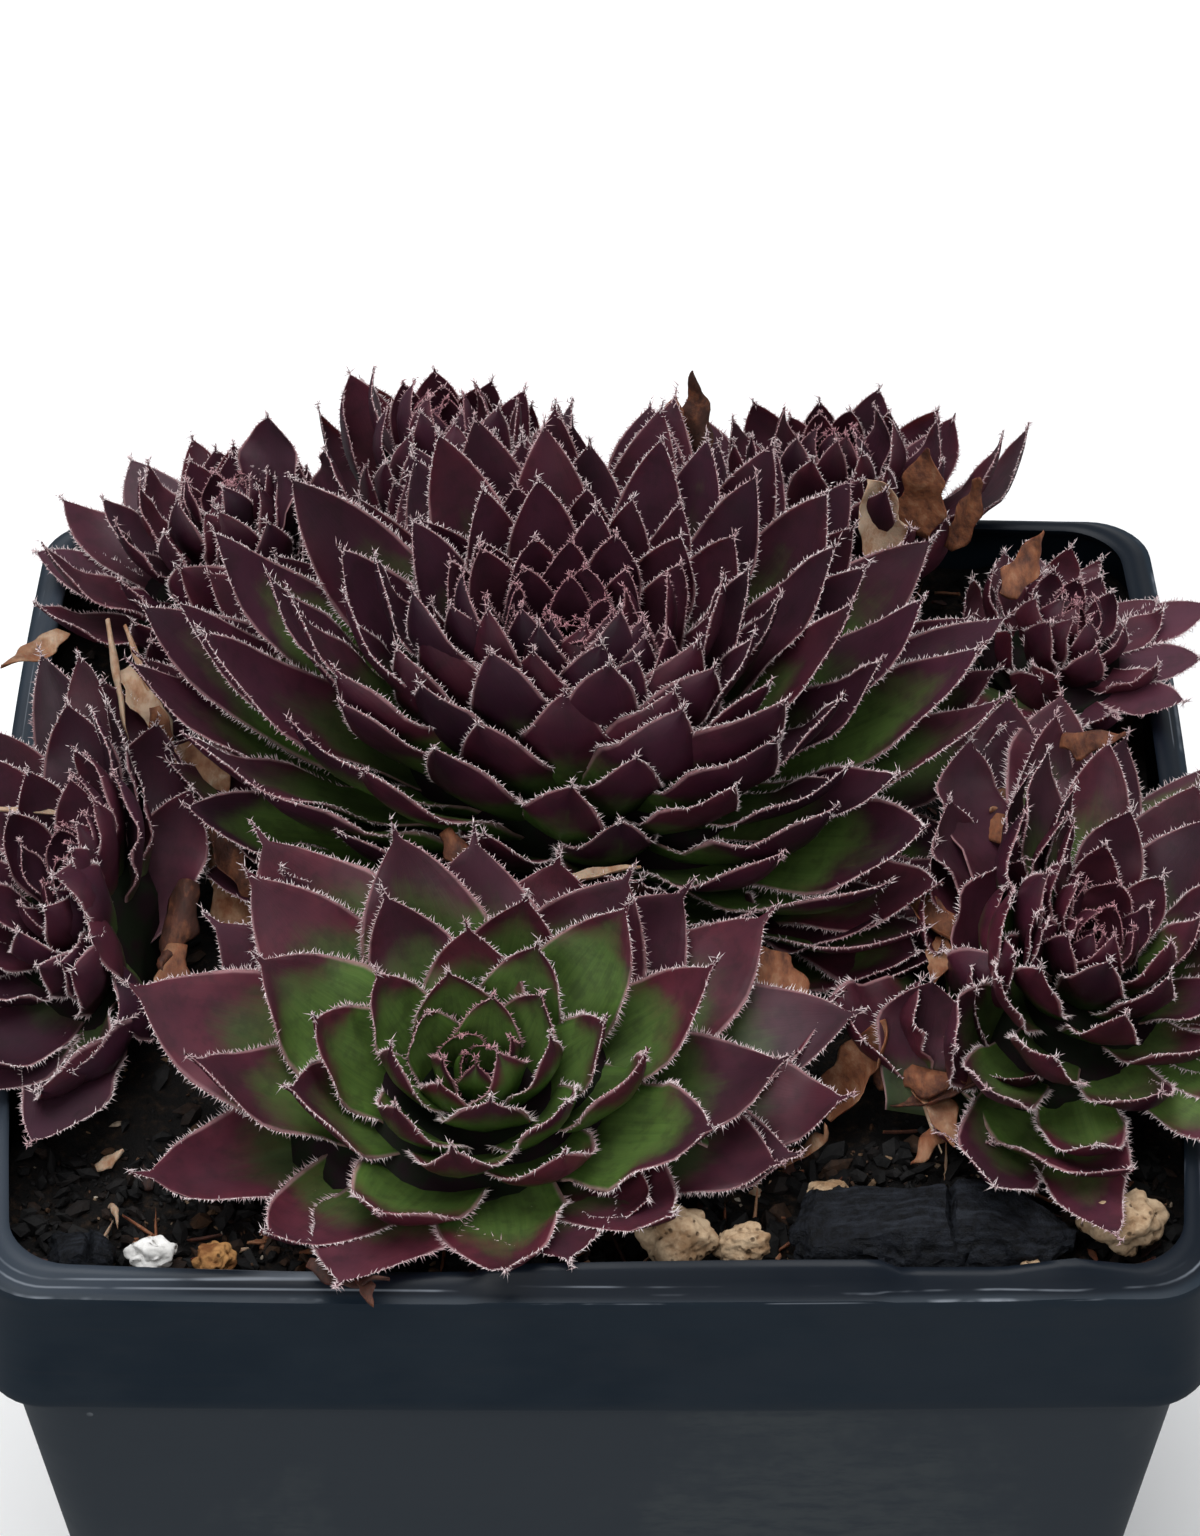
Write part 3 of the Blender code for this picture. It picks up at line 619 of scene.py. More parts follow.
# Leaves that stray out of their head into a gap beside it. Each row: the head, the base and the tip
# (mm right, back and above the rim), the width (mm), the turn about its own length (degrees) and how
# green it is.
STRAYS = (
    ("rosette_right", (25.0, -14.0, -0.5), (18.9, -22.6, 2.4), 10.5, -12, 0.10),
    ("rosette_right", (27.5, -15.5, 0.5), (31.0, -8.0, 9.0), 7.5, 30, 0.15),
    ("rosette_right", (27.0, -14.0, 0.0), (29.0, -18.5, 7.0), 7.0, -40, 0.20),
    ("rosette_right", (25.0, -21.0, -2.0), (22.3, -18.8, 5.4), 6.0, 50, 0.30),
    ("rosette_right", (25.5, -15.0, 0.0), (31.8, -27.6, 2.4), 7.5, -12, 0.72),
    ("rosette_right", (27.0, -18.5, -2.0), (38.4, -36.2, 1.4), 9.0, -8, 0.68),
    ("rosette_right", (26.5, -20.0, -3.0), (28.6, -31.0, -0.6), 7.0, 0, 0.45),
    ("rosette_right", (31.0, -8.0, 3.0), (27.3, 4.2, 9.2), 7.5, 15, 0.10),
    ("rosette_right", (31.0, -9.0, 2.0), (25.6, -1.5, 8.2), 7.5, 20, 0.12),
    ("rosette_right", (30.0, -10.0, 1.0), (24.4, -5.0, 6.8), 7.0, 20, 0.15),
    ("rosette_right", (29.0, -12.0, 0.0), (23.5, -9.0, 5.8), 6.5, 20, 0.20),
    ("rosette_right", (32.0, -6.0, 3.0), (31.0, 9.5, 9.0), 7.0, 0, 0.10),
    ("rosette_right", (33.5, -5.0, 3.5), (35.5, 10.5, 9.0), 7.0, 0, 0.10),
    ("rosette_main", (6.0, 2.0, 0.0), (21.6, -10.8, 3.4), 9.0, 0, 0.40),
    ("rosette_main", (9.0, 1.0, -1.0), (26.6, -13.6, 2.4), 8.5, 6, 0.45),
    ("rosette_main", (9.0, 4.0, -1.0), (29.5, -7.0, 3.2), 8.5, 0, 0.40),
    ("rosette_main", (-13.0, 5.0, 0.0), (-30.0, -0.5, 4.6), 8.0, 0, 0.20),
    ("rosette_main", (-14.0, 8.0, 0.5), (-33.6, 6.5, 6.0), 8.0, 0, 0.15),
    ("rosette_main", (-14.0, 12.0, 0.5), (-36.0, 14.5, 5.0), 8.0, 0, 0.15),
    ("rosette_left", (-37.0, -8.0, -3.5), (-30.4, 2.5, 6.4), 7.0, 15, 0.10),
    ("rosette_left", (-37.5, -6.0, -3.0), (-33.2, 9.0, 7.4), 7.5, 10, 0.10),
    ("rosette_left", (-37.0, 2.0, 0.0), (-38.0, 15.0, 6.6), 7.0, 0, 0.10),
    ("rosette_front", (-2.5, -32.5, -1.6), (4.2, -37.6, 0.8), 6.4, 0, 0.20),
    ("rosette_front", (1.0, -21.5, 1.0), (20.2, -20.0, 3.4), 10.5, 8, 0.55),
    ("rosette_front", (2.0, -25.0, 0.0), (19.2, -28.2, 1.8), 9.5, 0, 0.52),
    ("rosette_front", (0.0, -27.0, -0.6), (14.0, -34.0, 0.8), 8.5, 0, 0.50),
    ("rosette_front", (-5.0, -19.0, 2.0), (-2.6, -8.8, 9.4), 9.5, 0, 0.30),
    ("rosette_front", (-14.0, -19.0, 1.0), (-24.0, -8.6, 7.4), 9.0, 0, 0.35),
    ("rosette_right", (23.0, -24.5, -2.0), (24.6, -18.0, 5.6), 8.0, 0, 0.30),
    ("rosette_main", (3.0, 17.0, 8.0), (4.2, 33.0, 19.7), 7.5, 0, 0.20),
    ("rosette_main", (-2.0, 17.0, 8.0), (-3.5, 33.0, 18.6), 7.0, 0, 0.20),
    ("rosette_back", (-8.0, 37.0, 4.0), (-1.5, 40.0, 13.4), 6.0, 0, 0.15),
    ("rosette_back_right", (12.0, 37.0, 4.0), (5.0, 40.0, 12.8), 6.0, 0, 0.15),
    ("rosette_back_left", (-27.0, 30.0, 6.0), (-25.5, 36.0, 16.5), 6.0, 0, 0.15),
    ("rosette_back_left", (-22.0, 30.0, 5.0), (-20.6, 33.0, 15.5), 6.0, 0, 0.15),
    ("rosette_far_right", (32.0, 21.0, 0.0), (29.5, 12.0, 5.0), 6.0, 0, 0.20),
    ("rosette_far_right", (34.0, 20.0, 0.0), (36.5, 11.0, 4.6), 6.0, 0, 0.20),
)

# Neighbours press flat against each other. Each row: two rosettes, a point on the wall between
# them (mm right, back and above the rim), the way from the first to the second (degrees), and how
# far the second leans over the first there (degrees). The last row keeps leaves off the gravel.
MEETINGS = (
    ("main", "front", (-4, -9.5, 6), -98, 10),
    ("main", "left", (-33, 0, 8), 198, -12),
    ("main", "right", (29, -3, 6), -17, -12),
    ("main", "back_left", (-25, 27, 10), 134, -20),
    ("main", "back", (-9, 33, 10), 108, -5),
    ("main", "back_right", (12, 31, 10), 56, -8),
    ("main", "far_right", (33, 20, 7), 29, -15),
    ("front", "left", (-31.5, -18, 1), 149, -30),
    ("front", "right", (20, -20, 2), 20, -10),
    ("left", "back_left", (-38, 18, 5), 78, 0),
    ("back_left", "back", (-20, 38, 10), 20, 0),
    ("back", "back_right", (0, 39, 10), 0, 0),
    ("back_right", "far_right", (30, 33, 6), -28, 0),
    ("far_right", "right", (38, 12, 4), -90, 0),
    ("front", "gravel", (9, -39, 0), -50, 0),
)


def way_to(degrees, climb=0.0):
    """A unit direction from a heading on the ground and a climb."""
    heading, climb = math.radians(degrees), math.radians(climb)
    flat = math.cos(climb)
    return np.array((math.cos(heading) * flat, math.sin(heading) * flat, math.sin(climb)))


def unit(vector):
    """A vector of length 1 the same way."""
    return vector / np.linalg.norm(vector)


def units(vectors):
    """Each row of an array at length 1."""
    return vectors / np.linalg.norm(vectors, axis=1)[:, None]


class Cell:
    """The room a rosette keeps to: flat walls between it and its neighbours, the mix and the rim."""

    def __init__(self, name):
        up = way_to(0, 90)
        self.beside = []
        for first, second, foot, heading, climb in MEETINGS:
            foot = np.array(foot) * MM + up * RIM_Z
            out = way_to(heading, climb)
            if name == "rosette_" + first:
                self.beside.append((foot, out))
            if name == "rosette_" + second:
                self.beside.append((foot, -out))
        self.beneath = [(up * (SOIL_Z + SOIL_LUMP), -up)]
        for heading in (0, 90, 180, 270):
            furthest = END_REACH if heading % 180 else SIDE_REACH
            out = way_to(heading)
            self.beside.append((out * furthest, out))
            self.beneath.append((out * RIM_INSIDE + up * (RIM_Z + CLEAR), unit(out * RIM_SLOPE - up)))

    def squeeze(self, points, centre, reach):
        """Points of an open rosette drawn in on the sides where neighbours hem it in."""
        for foot, out in self.beside:
            level = unit(out * (1, 1, 0))
            axis = np.broadcast_to(centre, points.shape).copy()
            axis[..., 2] = points[..., 2]
            off = (points - axis) @ level
            room = ((foot - axis) @ out) / (level @ out)
            far = np.linalg.norm(points - axis, axis=-1)
            limit = np.maximum(room, MM) * np.minimum(1, HEM_FILL * far / reach)
            share = np.maximum(off, 0) / np.maximum(limit, 1e-9)
            kept = off / (1 + share**GRIP) ** (1 / GRIP)
            points = points - level * np.where(off > 0, off - kept, 0)[..., None]
        return points

    def clear_rim(self, points):
        """Points kept above the mix and the rim only."""
        return self.press(points, self.beneath)

    def press(self, points, walls=None):
        """Points pressed back behind every wall, so that no face crosses one."""
        for _ in range(3):
            for foot, out in walls or self.beside + self.beneath:
                room = (foot - points) @ out - CLEAR * 0.5
                kept = PRESS_DEPTH / (2 - np.minimum(room, PRESS_DEPTH) / PRESS_DEPTH)
                points = points - out * np.where(room < PRESS_DEPTH, kept - room, 0)[..., None]
        return points


class Leaf:
    """One leaf: a boat-shaped blade from its base to its tip, and where any point of it lies."""

    def __init__(self, rosette, chance, age, base, tip, side, width, turned):
        self.press = rosette.cell.press
        self.chance = chance
        self.age = age
        self.base = base
        self.chord = tip - base
        self.length = np.linalg.norm(self.chord)
        self.side = unit(side - self.chord * (side @ self.chord) / self.length**2)
        self.under = unit(np.cross(self.chord, self.side))
        if self.under @ rosette.axis > 0:
            self.under = -self.under
        turn = math.radians(turned)
        self.side, self.under = (
            self.side * math.cos(turn) + self.under * math.sin(turn),
            self.under * math.cos(turn) - self.side * math.sin(turn),
        )
        cup = math.radians(rosette.row["cup"]) * (0.4 + 0.6 * age) * chance.uniform(0.8, 1.25)
        self.sag = self.under * self.length * cup / 2
        self.width = width * chance.uniform(0.84, 1.08)
        self.thick = max(0.8 * MM, self.width * 0.15)
        self.point = rosette.row["point"] * chance.uniform(0.85, 1.15)
        self.broad = rosette.row["broad"] * chance.uniform(0.95, 1.03)
        self.flick = chance.uniform(0.3, 1.9) * MM
        self.waves = chance.uniform(13, 24)
        self.fold = chance.uniform(0.14, 0.30)
        self.wave = chance.uniform(0, 6.3)
        self.green = None

    def half(self, along):
        """Half the width at a share of the length: widest at its broad, round shoulders, a point."""
        rising = 0.55 + 0.45 * np.sin(np.minimum(along / self.broad, 1) * math.pi / 2) ** 1.6
        past = np.clip((along - self.broad + 0.04) / (1.04 - self.broad), 0, 1)
        shoulders = (1 - np.minimum(past / (1 - self.point * 0.6), 1) ** 2.0) ** 0.92
        return self.width * 0.5 * rising * (shoulders * (1 - self.point) + self.point * (1 - past))

    def surface(self, along, across, face):
        """Points of the blade: shares along and across it, and face from -1, above, to 1, beneath."""
        half = self.half(along)
        body = self.thick * (1 - 0.75 * along**4)
        keel = np.where(face > 0, 0.62 * face * (1 - 0.25 * np.abs(across)), 0.28 * face)
        dish = (1 - across**2) * half * self.fold
        phase = along * self.waves + self.wave + across * 2
        ripple = half * 0.12 * np.sin(phase) * across * np.abs(across)
        middle = self.base + self.chord * along[:, None] + self.sag * (along * (1 - along))[:, None]
        flick = self.flick * np.clip((along - 0.72) / 0.28, 0, 1) ** 2
        depth = body * keel + dish - self.thick * 0.4 + ripple - flick
        points = middle + self.side * (half * across)[:, None] + self.under * depth[:, None]
        return self.press(points)


class Rosette:
    """The growth rule of one head: where each of its leaves starts, points and turns."""

    def __init__(self, name):
        self.name = name
        self.row = ROSETTES[name]
        self.cell = Cell(name)
        self.foot = np.array((self.row["foot"][0] * MM, self.row["foot"][1] * MM, SOIL_Z))
        self.axis = way_to(self.row["lean_to"], 90 - self.row["lean"])
        self.level = unit(np.cross(self.axis, (0, 1, 0)))
        self.centre = self.foot + self.axis * (self.row["stem"] + 6) * MM
        self.reach = self.profile(1, 1)[0]
        grown = [self.leaf(index) for index in range(self.row["leaves"])]
        strayed = [self.stray(*row[1:]) for row in STRAYS if row[0] == name]
        self.leaves = [leaf for leaf in grown if leaf] + strayed

    def leaf(self, index):
        """The leaf of a number, counted from the youngest, or None where it had no room."""
        chance = random.Random(f"{self.name} {index}")
        age = (index + 1) / self.row["leaves"]
        start = math.radians(self.row["start"] + chance.uniform(-8, 8))
        angle = self.row["turn"] * GOLDEN_TURN * index + start
        grown = chance.uniform(0.88, 1.05)
        base = self.placed(*self.profile(age, 0), angle)
        tip = self.placed(*self.profile(age, grown), angle)
        arm = tip - self.foot
        off_axis = np.linalg.norm(arm - self.axis * (arm @ self.axis))
        if off_axis < CROWDED * self.profile(age, 1)[0]:
            return None
        out, up = self.profile(age, 0.7)
        side = self.placed(out, up, angle, MM) - self.placed(out, up, angle, -MM)
        width = self.sized("width", age, 0.8)
        made = Leaf(self, chance, age, base, tip, side, width, chance.uniform(-14, 14))
        old, young = self.row["green"]
        made.green = young + (old - young) * age + chance.uniform(-0.08, 0.08)
        return made

    def stray(self, base, tip, width, turned, green):
        """A leaf given by its base and its tip."""
        up = way_to(0, 90)
        base, tip = np.array(base) * MM + up * RIM_Z, np.array(tip) * MM + up * RIM_Z
        side = np.cross(tip - base, self.axis)
        made = Leaf(self, random.Random(f"{self.name} {tip}"), 0.8, base, tip, side, width * MM, turned)
        made.green = green
        made.press = self.cell.clear_rim
        return made

    def sized(self, what, age, power):
        """A length or width in metres at an age, from 0 for the youngest leaf to 1 for the oldest."""
        old, young = self.row[what]
        return (young + (old - young) * age**power) * MM

    def profile(self, age, share):
        """How far out and up a leaf has come by a share of its length, in open ground."""
        slope = math.radians(84 - (84 - self.row["rise"]) * age**0.85)
        run = self.sized("length", age, 0.75) * share
        up = (self.row["stem"] * (1 - age) ** 1.2 + 1.6) * MM
        return (0.6 + 2.2 * age) * MM + run * math.cos(slope), up + run * math.sin(slope)

    def placed(self, out, up, angle, aside=0.0):
        """A point of the open rosette, drawn in where neighbours hem it in."""
        along = self.level * math.cos(angle) + np.cross(self.axis, self.level) * math.sin(angle)
        point = self.foot + self.axis * up + along * out + np.cross(self.axis, along) * aside
        return self.cell.squeeze(point, self.centre, self.reach)


def blank_leaf(sides=LEAF_SIDES, rings=LEAF_RINGS):
    """A closed tube to shape each leaf from: its ends at 0 and 1, its sides at 1 from the middle."""
    mesh = bmesh.new()
    bmesh.ops.create_cone(
        mesh, cap_ends=True, cap_tris=True, segments=sides, radius1=1, radius2=1, depth=1,
        matrix=Matrix.Translation((0, 0, 0.5)),
    )
    long_edges = [e for e in mesh.edges if abs(e.verts[0].co.z - e.verts[1].co.z) > 0.5]
    bmesh.ops.subdivide_edges(mesh, edges=long_edges, cuts=rings)
    for vert in mesh.verts:
        vert.co.z = 1 - (1 - vert.co.z) ** 1.25
    return mesh


def leaves_of(rosette):
    """The mesh of a head's leaves, each corner labelled with its place on its leaf."""
    data, corners = repeated(blank_leaf(), len(rosette.leaves))
    across, face, along = corners.T
    points = [leaf.surface(along, across, face) for leaf in rosette.leaves]
    place_corners(data, np.concatenate(points))
    spots = np.tile(np.stack((along, across, face), axis=1), (len(rosette.leaves), 1))
    label(data, "spot", "FLOAT_VECTOR", spots)
    kinds = [(leaf.chance.random(), leaf.green, rosette.row["red"]) for leaf in rosette.leaves]
    label(data, "kind", "FLOAT_VECTOR", np.repeat(kinds, len(corners), axis=0))
    return data


def leaf_paint(name):
    """Satin skin, plum to dark red over green, paler along the margin, with faint blue-grey patches of
    painted sky reflection.
    """
    paint = Paint(name, Subsurface_Weight=0.10, Subsurface_Scale=0.8 * MM, Specular_IOR_Level=0.24)
    paint.shader.inputs["Subsurface Radius"].default_value = (1.0, 0.45, 0.25)
    spot = paint.labelled("spot", "Vector")
    kind = paint.labelled("kind", "Vector")
    along, across, face = spot.part("X"), spot.part("Y"), spot.part("Z")
    chance, green, red = kind.part("X"), kind.part("Y"), kind.part("Z")
    place = paint.place()
    mottle = paint.noise(place, 260, 3, 0.55)
    cloud = paint.noise(place, 90, 2, 0.5)
    streak = paint.noise(spot.scaled(2, 14, 0.5), 1.0, 3, 0.6)
    edge = across * across
    plum = paint.mix(cloud.between(0.35, 0.65), (0.0150, 0.0034, 0.0095), (0.040, 0.0080, 0.0195))
    rusty = paint.mix(mottle.between(0.35, 0.7), (0.062, 0.0085, 0.0165), (0.112, 0.0180, 0.0290))
    warmth = red + chance * 0.40 + edge * 0.22 + (1 - along) * 0.1 - 0.16
    purple = paint.mix(warmth.between(0.1, 1.1), plum, rusty)
    fresh = paint.mix(streak.between(0.2, 0.9), (0.046, 0.100, 0.015), (0.080, 0.150, 0.026))
    deep = paint.mix(mottle.between(0.3, 0.7), (0.022, 0.042, 0.011), (0.050, 0.075, 0.020))
    leafy = paint.mix((green * 1.3 - 0.2).between(0.35, 0.80), deep, fresh)
    blush = along + edge * along * along * 0.36 - green - 0.04
    blush = blush + (mottle - 0.5) * 0.30 + (streak - 0.5) * 0.12
    skin = paint.mix(blush.between(-0.12, 0.12), leafy, purple)
    skin = paint.mix((face * -1).between(0.2, 0.9) * 0.10, skin, (0.11, 0.050, 0.065))
    skin = paint.mix(edge.between(0.82, 0.99) * 0.70, skin, (0.46, 0.25, 0.265))
    dull = paint.noise(place, 700, 4, 0.6)
    skin = paint.mix(dull.between(0.46, 0.66) * 0.30, skin, (0.010, 0.006, 0.006))
    # Painted reflection: faint blue-grey patches of the sky on the skin, which also make it a little
    # rougher there.
    sky_reflection = paint.noise(place, 45, 3, 0.55).between(0.40, 0.75) * 0.022
    skin = paint.mix(sky_reflection, skin, (0.20, 0.18, 0.27))
    paint.bump(dull * 0.5 + streak * 0.5, 0.3, 0.14 * MM)
    return paint.finish(skin, 0.42 + dull * 0.12 + sky_reflection)


heads = {name: Rosette(name) for name in ROSETTES}
dark_paint = leaf_paint("dark_leaf")
green_paint = leaf_paint("green_leaf")
for name, head in heads.items():
    slot = "green_leaf" if name == "rosette_front" else "dark_leaf"
    material = green_paint if slot == "green_leaf" else dark_paint
    piece(name.replace("rosette_", "") + "_leaves", leaves_of(head), material, [name])


# The hearts: the imported stem that the leaves of a head stand on, painted nearly black as the shade
# between them. It stands in a hole in the mix and roots the head there. One piece for each head.
def heart(rosette):
    """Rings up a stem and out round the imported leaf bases, closed at both ends."""
    mesh = bmesh.new()
    bmesh.ops.create_circle(mesh, cap_ends=True, segments=CORE_SIDES, radius=STEM_RADIUS)
    top = mesh.faces[:][0]
    turns = [math.atan2(v.co.y, v.co.x) for v in top.verts]
    stem = np.array([(-STEM_RADIUS * math.cos(a), -STEM_RADIUS * math.sin(a), 0) for a in turns])
    low = rosette.foot - way_to(0, 90) * STEM_DEPTH
    high = rosette.foot + way_to(0, 90) * (SOIL_LUMP + CLEAR)
    rings = []
    for age in (1.0, 0.8, 0.62, 0.45, 0.30, 0.18, 0.08):
        ring = np.array([rosette.placed(*rosette.profile(age, CORE_SHARE), a) for a in turns])
        rings.append(rosette.cell.press(ring))
    start, wide = stem + high, rings[0]
    mouth = np.copysign(RIM_INSIDE - CLEAR, wide[:, :2])
    spread = wide[:, :2] - start[:, :2]
    past = np.where(np.abs(wide[:, :2]) > np.abs(mouth), (mouth - start[:, :2]) / spread, 0.8)
    neck = rosette.cell.press(start + (wide - start) * np.minimum(0.8, past.min(axis=1))[:, None])
    neck[:, 2] = np.minimum(neck[:, 2], wide[:, 2] - CLEAR)
    rings = [stem + low, start, neck] + rings
    for vert, spot in zip(top.verts, rings[0]):
        vert.co = spot
    for ring in rings[1:]:
        top = bmesh.ops.extrude_discrete_faces(mesh, faces=[top])["faces"][0]
        for vert, spot in zip(top.verts, ring):
            vert.co = spot
    bmesh.ops.holes_fill(mesh, edges=[e for e in mesh.edges if e.is_boundary])
    bmesh.ops.recalc_face_normals(mesh, faces=mesh.faces)
    return mesh


def heart_shade_paint():
    """Dark green to purple flesh, painted nearly black as the shade between the leaves."""
    paint = Paint("heart_flesh_painted_shade", Specular_IOR_Level=0.1)
    mottle = paint.noise(paint.place(), 300, 3)
    # Painted shade: the flesh is coloured nearly black for the shade between the leaves.
    colour = paint.mix(mottle.between(0.4, 0.6), (0.006, 0.009, 0.004), (0.010, 0.004, 0.006))
    paint.bump(mottle, 0.4, 0.3 * MM)
    return paint.finish(colour, 0.7)


heart_shade_material = heart_shade_paint()
for name, head in heads.items():
    slot = "green_leaf" if name == "rosette_front" else "dark_leaf"
    piece(name.replace("rosette_", "") + "_heart", heart(head), heart_shade_material, sharp=180)


# The hairs: short pinkish white bristles that fringe every margin, matted towards the tip, where
# they end in a curly tuft. One piece for each head.
HAIR_STEP = 0.120 * MM
HAIR_THICK = 0.058 * MM
TUFT = 11


def blank_hair():
    """A three-sided spike from -1 at its root to 1 at its point."""
    mesh = bmesh.new()
    bmesh.ops.create_cone(mesh, cap_ends=True, segments=3, radius1=1, radius2=0, depth=2)
    return mesh


def hairs_of_leaf(leaf, fluff):
    """Where each hair of a leaf starts and ends: two arrays of points."""
    draw = np.random.default_rng(leaf.chance.randrange(1 << 30))
    count = max(8, int(leaf.length * 0.53 / HAIR_STEP))
    roots, ways, lengths = [], [], []
    ahead = unit(leaf.chord)
    for hand in (-1, 1):
        along = np.clip(0.46 + 0.53 * (np.arange(count) + draw.random(count)) / count, 0, 0.995)
        root = leaf.surface(along, np.full(count, hand * 0.985), np.zeros(count))
        near_tip = np.clip((along - 0.55) / 0.45, 0, 1)[:, None]
        way = leaf.side * hand * (1.0 - 0.5 * near_tip) + ahead * (0.25 + 0.4 * near_tip)
        way = way - leaf.under * draw.uniform(-0.15, 0.45, (count, 1))
        way = way + draw.normal(0, 1, (count, 3)) * (0.26 + 0.55 * near_tip)
        roots.append(root)
        ways.append(way)
        lengths.append((0.70 - 0.32 * near_tip[:, 0]) * draw.uniform(0.35, 1.1, count))
    along = draw.uniform(0.955, 1.0, TUFT)
    matted = leaf.surface(along, draw.uniform(-1, 1, TUFT), np.zeros(TUFT))
    roots.append(matted + draw.normal(0, 0.10 * MM, (TUFT, 3)))
    ways.append(ahead * 0.5 - leaf.under * 0.3 + draw.normal(0, 0.8, (TUFT, 3)))
    lengths.append(draw.uniform(0.35, 0.80, TUFT))
    roots, ways = np.concatenate(roots), units(np.concatenate(ways))
    size = min(1, 0.40 + leaf.width / (12 * MM)) * fluff
    steps = ways * (np.concatenate(lengths) * size * MM)[:, None]
    return roots - steps * 0.1, roots + steps


def hairs_of(rosette, fluff):
    """The mesh of a head's hairs."""
    rows = [hairs_of_leaf(leaf, fluff) for leaf in rosette.leaves]
    start, end = (np.concatenate(part) for part in zip(*rows))
    data, corners = repeated(blank_hair(), len(start))
    way = units(end - start)
    right = units(np.cross(way, (0.31, 0.22, 0.92)))
    ahead = np.cross(way, right)
    points = np.empty((len(start), len(corners), 3))
    for i, (x, y, z) in enumerate(corners):
        points[:, i] = (start if z < 0 else end) + (right * x + ahead * y) * HAIR_THICK
    place_corners(data, points)
    shade = np.random.default_rng(7).random(len(start))
    ages = np.concatenate([np.full(len(row[0]), leaf.age) for row, leaf in zip(rows, rosette.leaves)])
    label(data, "shade", "FLOAT", np.repeat(shade, len(corners)))
    label(data, "age", "FLOAT", np.repeat(ages, len(corners)))
    return data


def hair_paint():
    """Pinkish white hair, each its own shade, redder on the youngest leaves."""
    paint = Paint("leaf_hair", Roughness=0.75)
    shade = paint.labelled("shade")
    age = paint.labelled("age")
    blush = paint.noise(paint.place(), 110, 2)
    colour = paint.mix(shade, (0.60, 0.44, 0.45), (0.95, 0.85, 0.85))
    colour = paint.mix((1 - age.between(0.05, 0.30)) * 0.75, colour, (0.52, 0.16, 0.21))
    colour = paint.mix(blush.between(0.45, 0.7) * 0.5, colour, (0.52, 0.26, 0.29))
    return paint.finish(colour, 0.75)


hair_material = hair_paint()
for name, head in heads.items():
    fluff = 1.25 if name == "rosette_far_right" else 1.0
    piece(name.replace("rosette_", "") + "_hairs", hairs_of(head, fluff), hair_material)


# The withered leaves: papery blades, shrunk, curled and torn, that hang in the gaps between the
# heads, with straws and the flakes that have dropped from them. Two pieces: blades and flakes.
# Each row: foot (mm right, back and above the rim), heading and climb (degrees), length and width
# (mm), curl (degrees), and tone (0 dark brown, 0.5 rust, 1 pale straw).
WITHERED = (
    ((-26.5, -4.5, -3.5), 118, 32, 11.0, 4.2, 40, 0.75),
    ((17.0, -23.5, -3.5), 35, 30, 9.0, 5.0, 50, 0.60),
    ((12.5, -27.5, -3.5), -25, 22, 7.0, 3.4, 45, 0.70),
    ((-35.5, -32.5, -3.8), -80, 50, 9.5, 0.8, -30, 0.95),
    ((-31.5, 7.5, 6.6), -58, -38, 8.5, 4.8, -20, 0.80),
    ((-36.8, 16.5, 6.2), -62, 5, 9.5, 3.4, -30, 0.95),
    ((-38.0, 20.0, 8.6), -80, -22, 12.0, 0.8, 20, 0.90),
    ((-36.6, 19.0, 8.8), -68, -18, 9.0, 0.7, -20, 0.85),
    ((-34.0, 10.5, 7.6), -70, -35, 6.5, 2.2, 0, 0.55),
    ((-29.6, 2.6, 4.6), -60, -25, 8.0, 4.2, -30, 0.40),
    ((-31.0, -3.5, 2.4), -100, -20, 9.0, 3.6, 20, 0.30),
    ((-31.5, -9.5, 1.2), -95, -15, 8.0, 3.2, 30, 0.65),
    ((-45.5, -1.4, 7.6), -4, -3, 9.0, 0.8, 6, 1.00),
    ((11.8, -13.6, 4.2), -48, -16, 6.4, 5.0, 12, 0.58),
    ((20.2, -19.5, 0.5), -40, -8, 9.0, 5.0, 30, 0.45),
    ((23.8, -21.5, -0.5), -70, -14, 8.5, 3.4, 30, 0.72),
    ((21.5, -24.0, -1.5), -10, 6, 8.0, 3.0, 50, 0.35),
    ((26.0, -24.5, -1.5), -115, -6, 7.0, 2.4, 20, 0.62),
    ((22.5, -18.5, 0.8), -75, -20, 11.0, 0.6, 10, 0.95),
    ((23.4, -8.6, 5.2), -45, -20, 6.0, 3.2, 10, 0.55),
    ((25.8, -11.5, 3.6), -100, -10, 6.0, 2.4, 30, 0.62),
    ((29.6, 3.0, 5.5), -75, -8, 8.0, 3.6, 30, 0.50),
    ((31.5, 8.0, 5.2), -100, -8, 8.0, 3.2, 30, 0.75),
    ((-3.0, -8.6, 6.8), 12, -6, 6.5, 1.3, 20, 0.95),
    ((-0.5, -9.8, 6.0), 5, -12, 6.0, 2.0, 10, 0.85),
    ((-11.2, -4.8, 8.6), -60, -20, 4.5, 2.6, 0, 0.50),
    ((25.2, 30.5, 8.6), 62, 62, 7.6, 5.4, 30, 0.56),
    ((22.6, 28.0, 8.0), 118, 55, 7.0, 6.0, 20, 0.92),
    ((27.6, 31.0, 7.0), 30, 50, 7.0, 3.6, 30, 0.50),
    ((8.6, 37.0, 12.0), 112, 58, 6.5, 3.4, 20, 0.30),
    ((6.0, 36.0, 11.0), 80, 55, 6.0, 3.0, 20, 0.62),
    ((32.0, 21.5, 9.5), 60, 20, 6.0, 3.6, 20, 0.50),
    ((35.5, 6.0, 8.6), -30, 20, 6.0, 4.0, 10, 0.48),
    ((-20.5, -43.6, 1.6), -24, -10, 6.4, 2.6, 30, 0.22),
    ((-16.8, -44.6, 1.5), -70, -20, 3.2, 1.8, 20, 0.35),
    ((-42.0, 24.0, 4.0), -120, 5, 8.0, 3.0, 20, 0.80),
)
FLAKES = 260


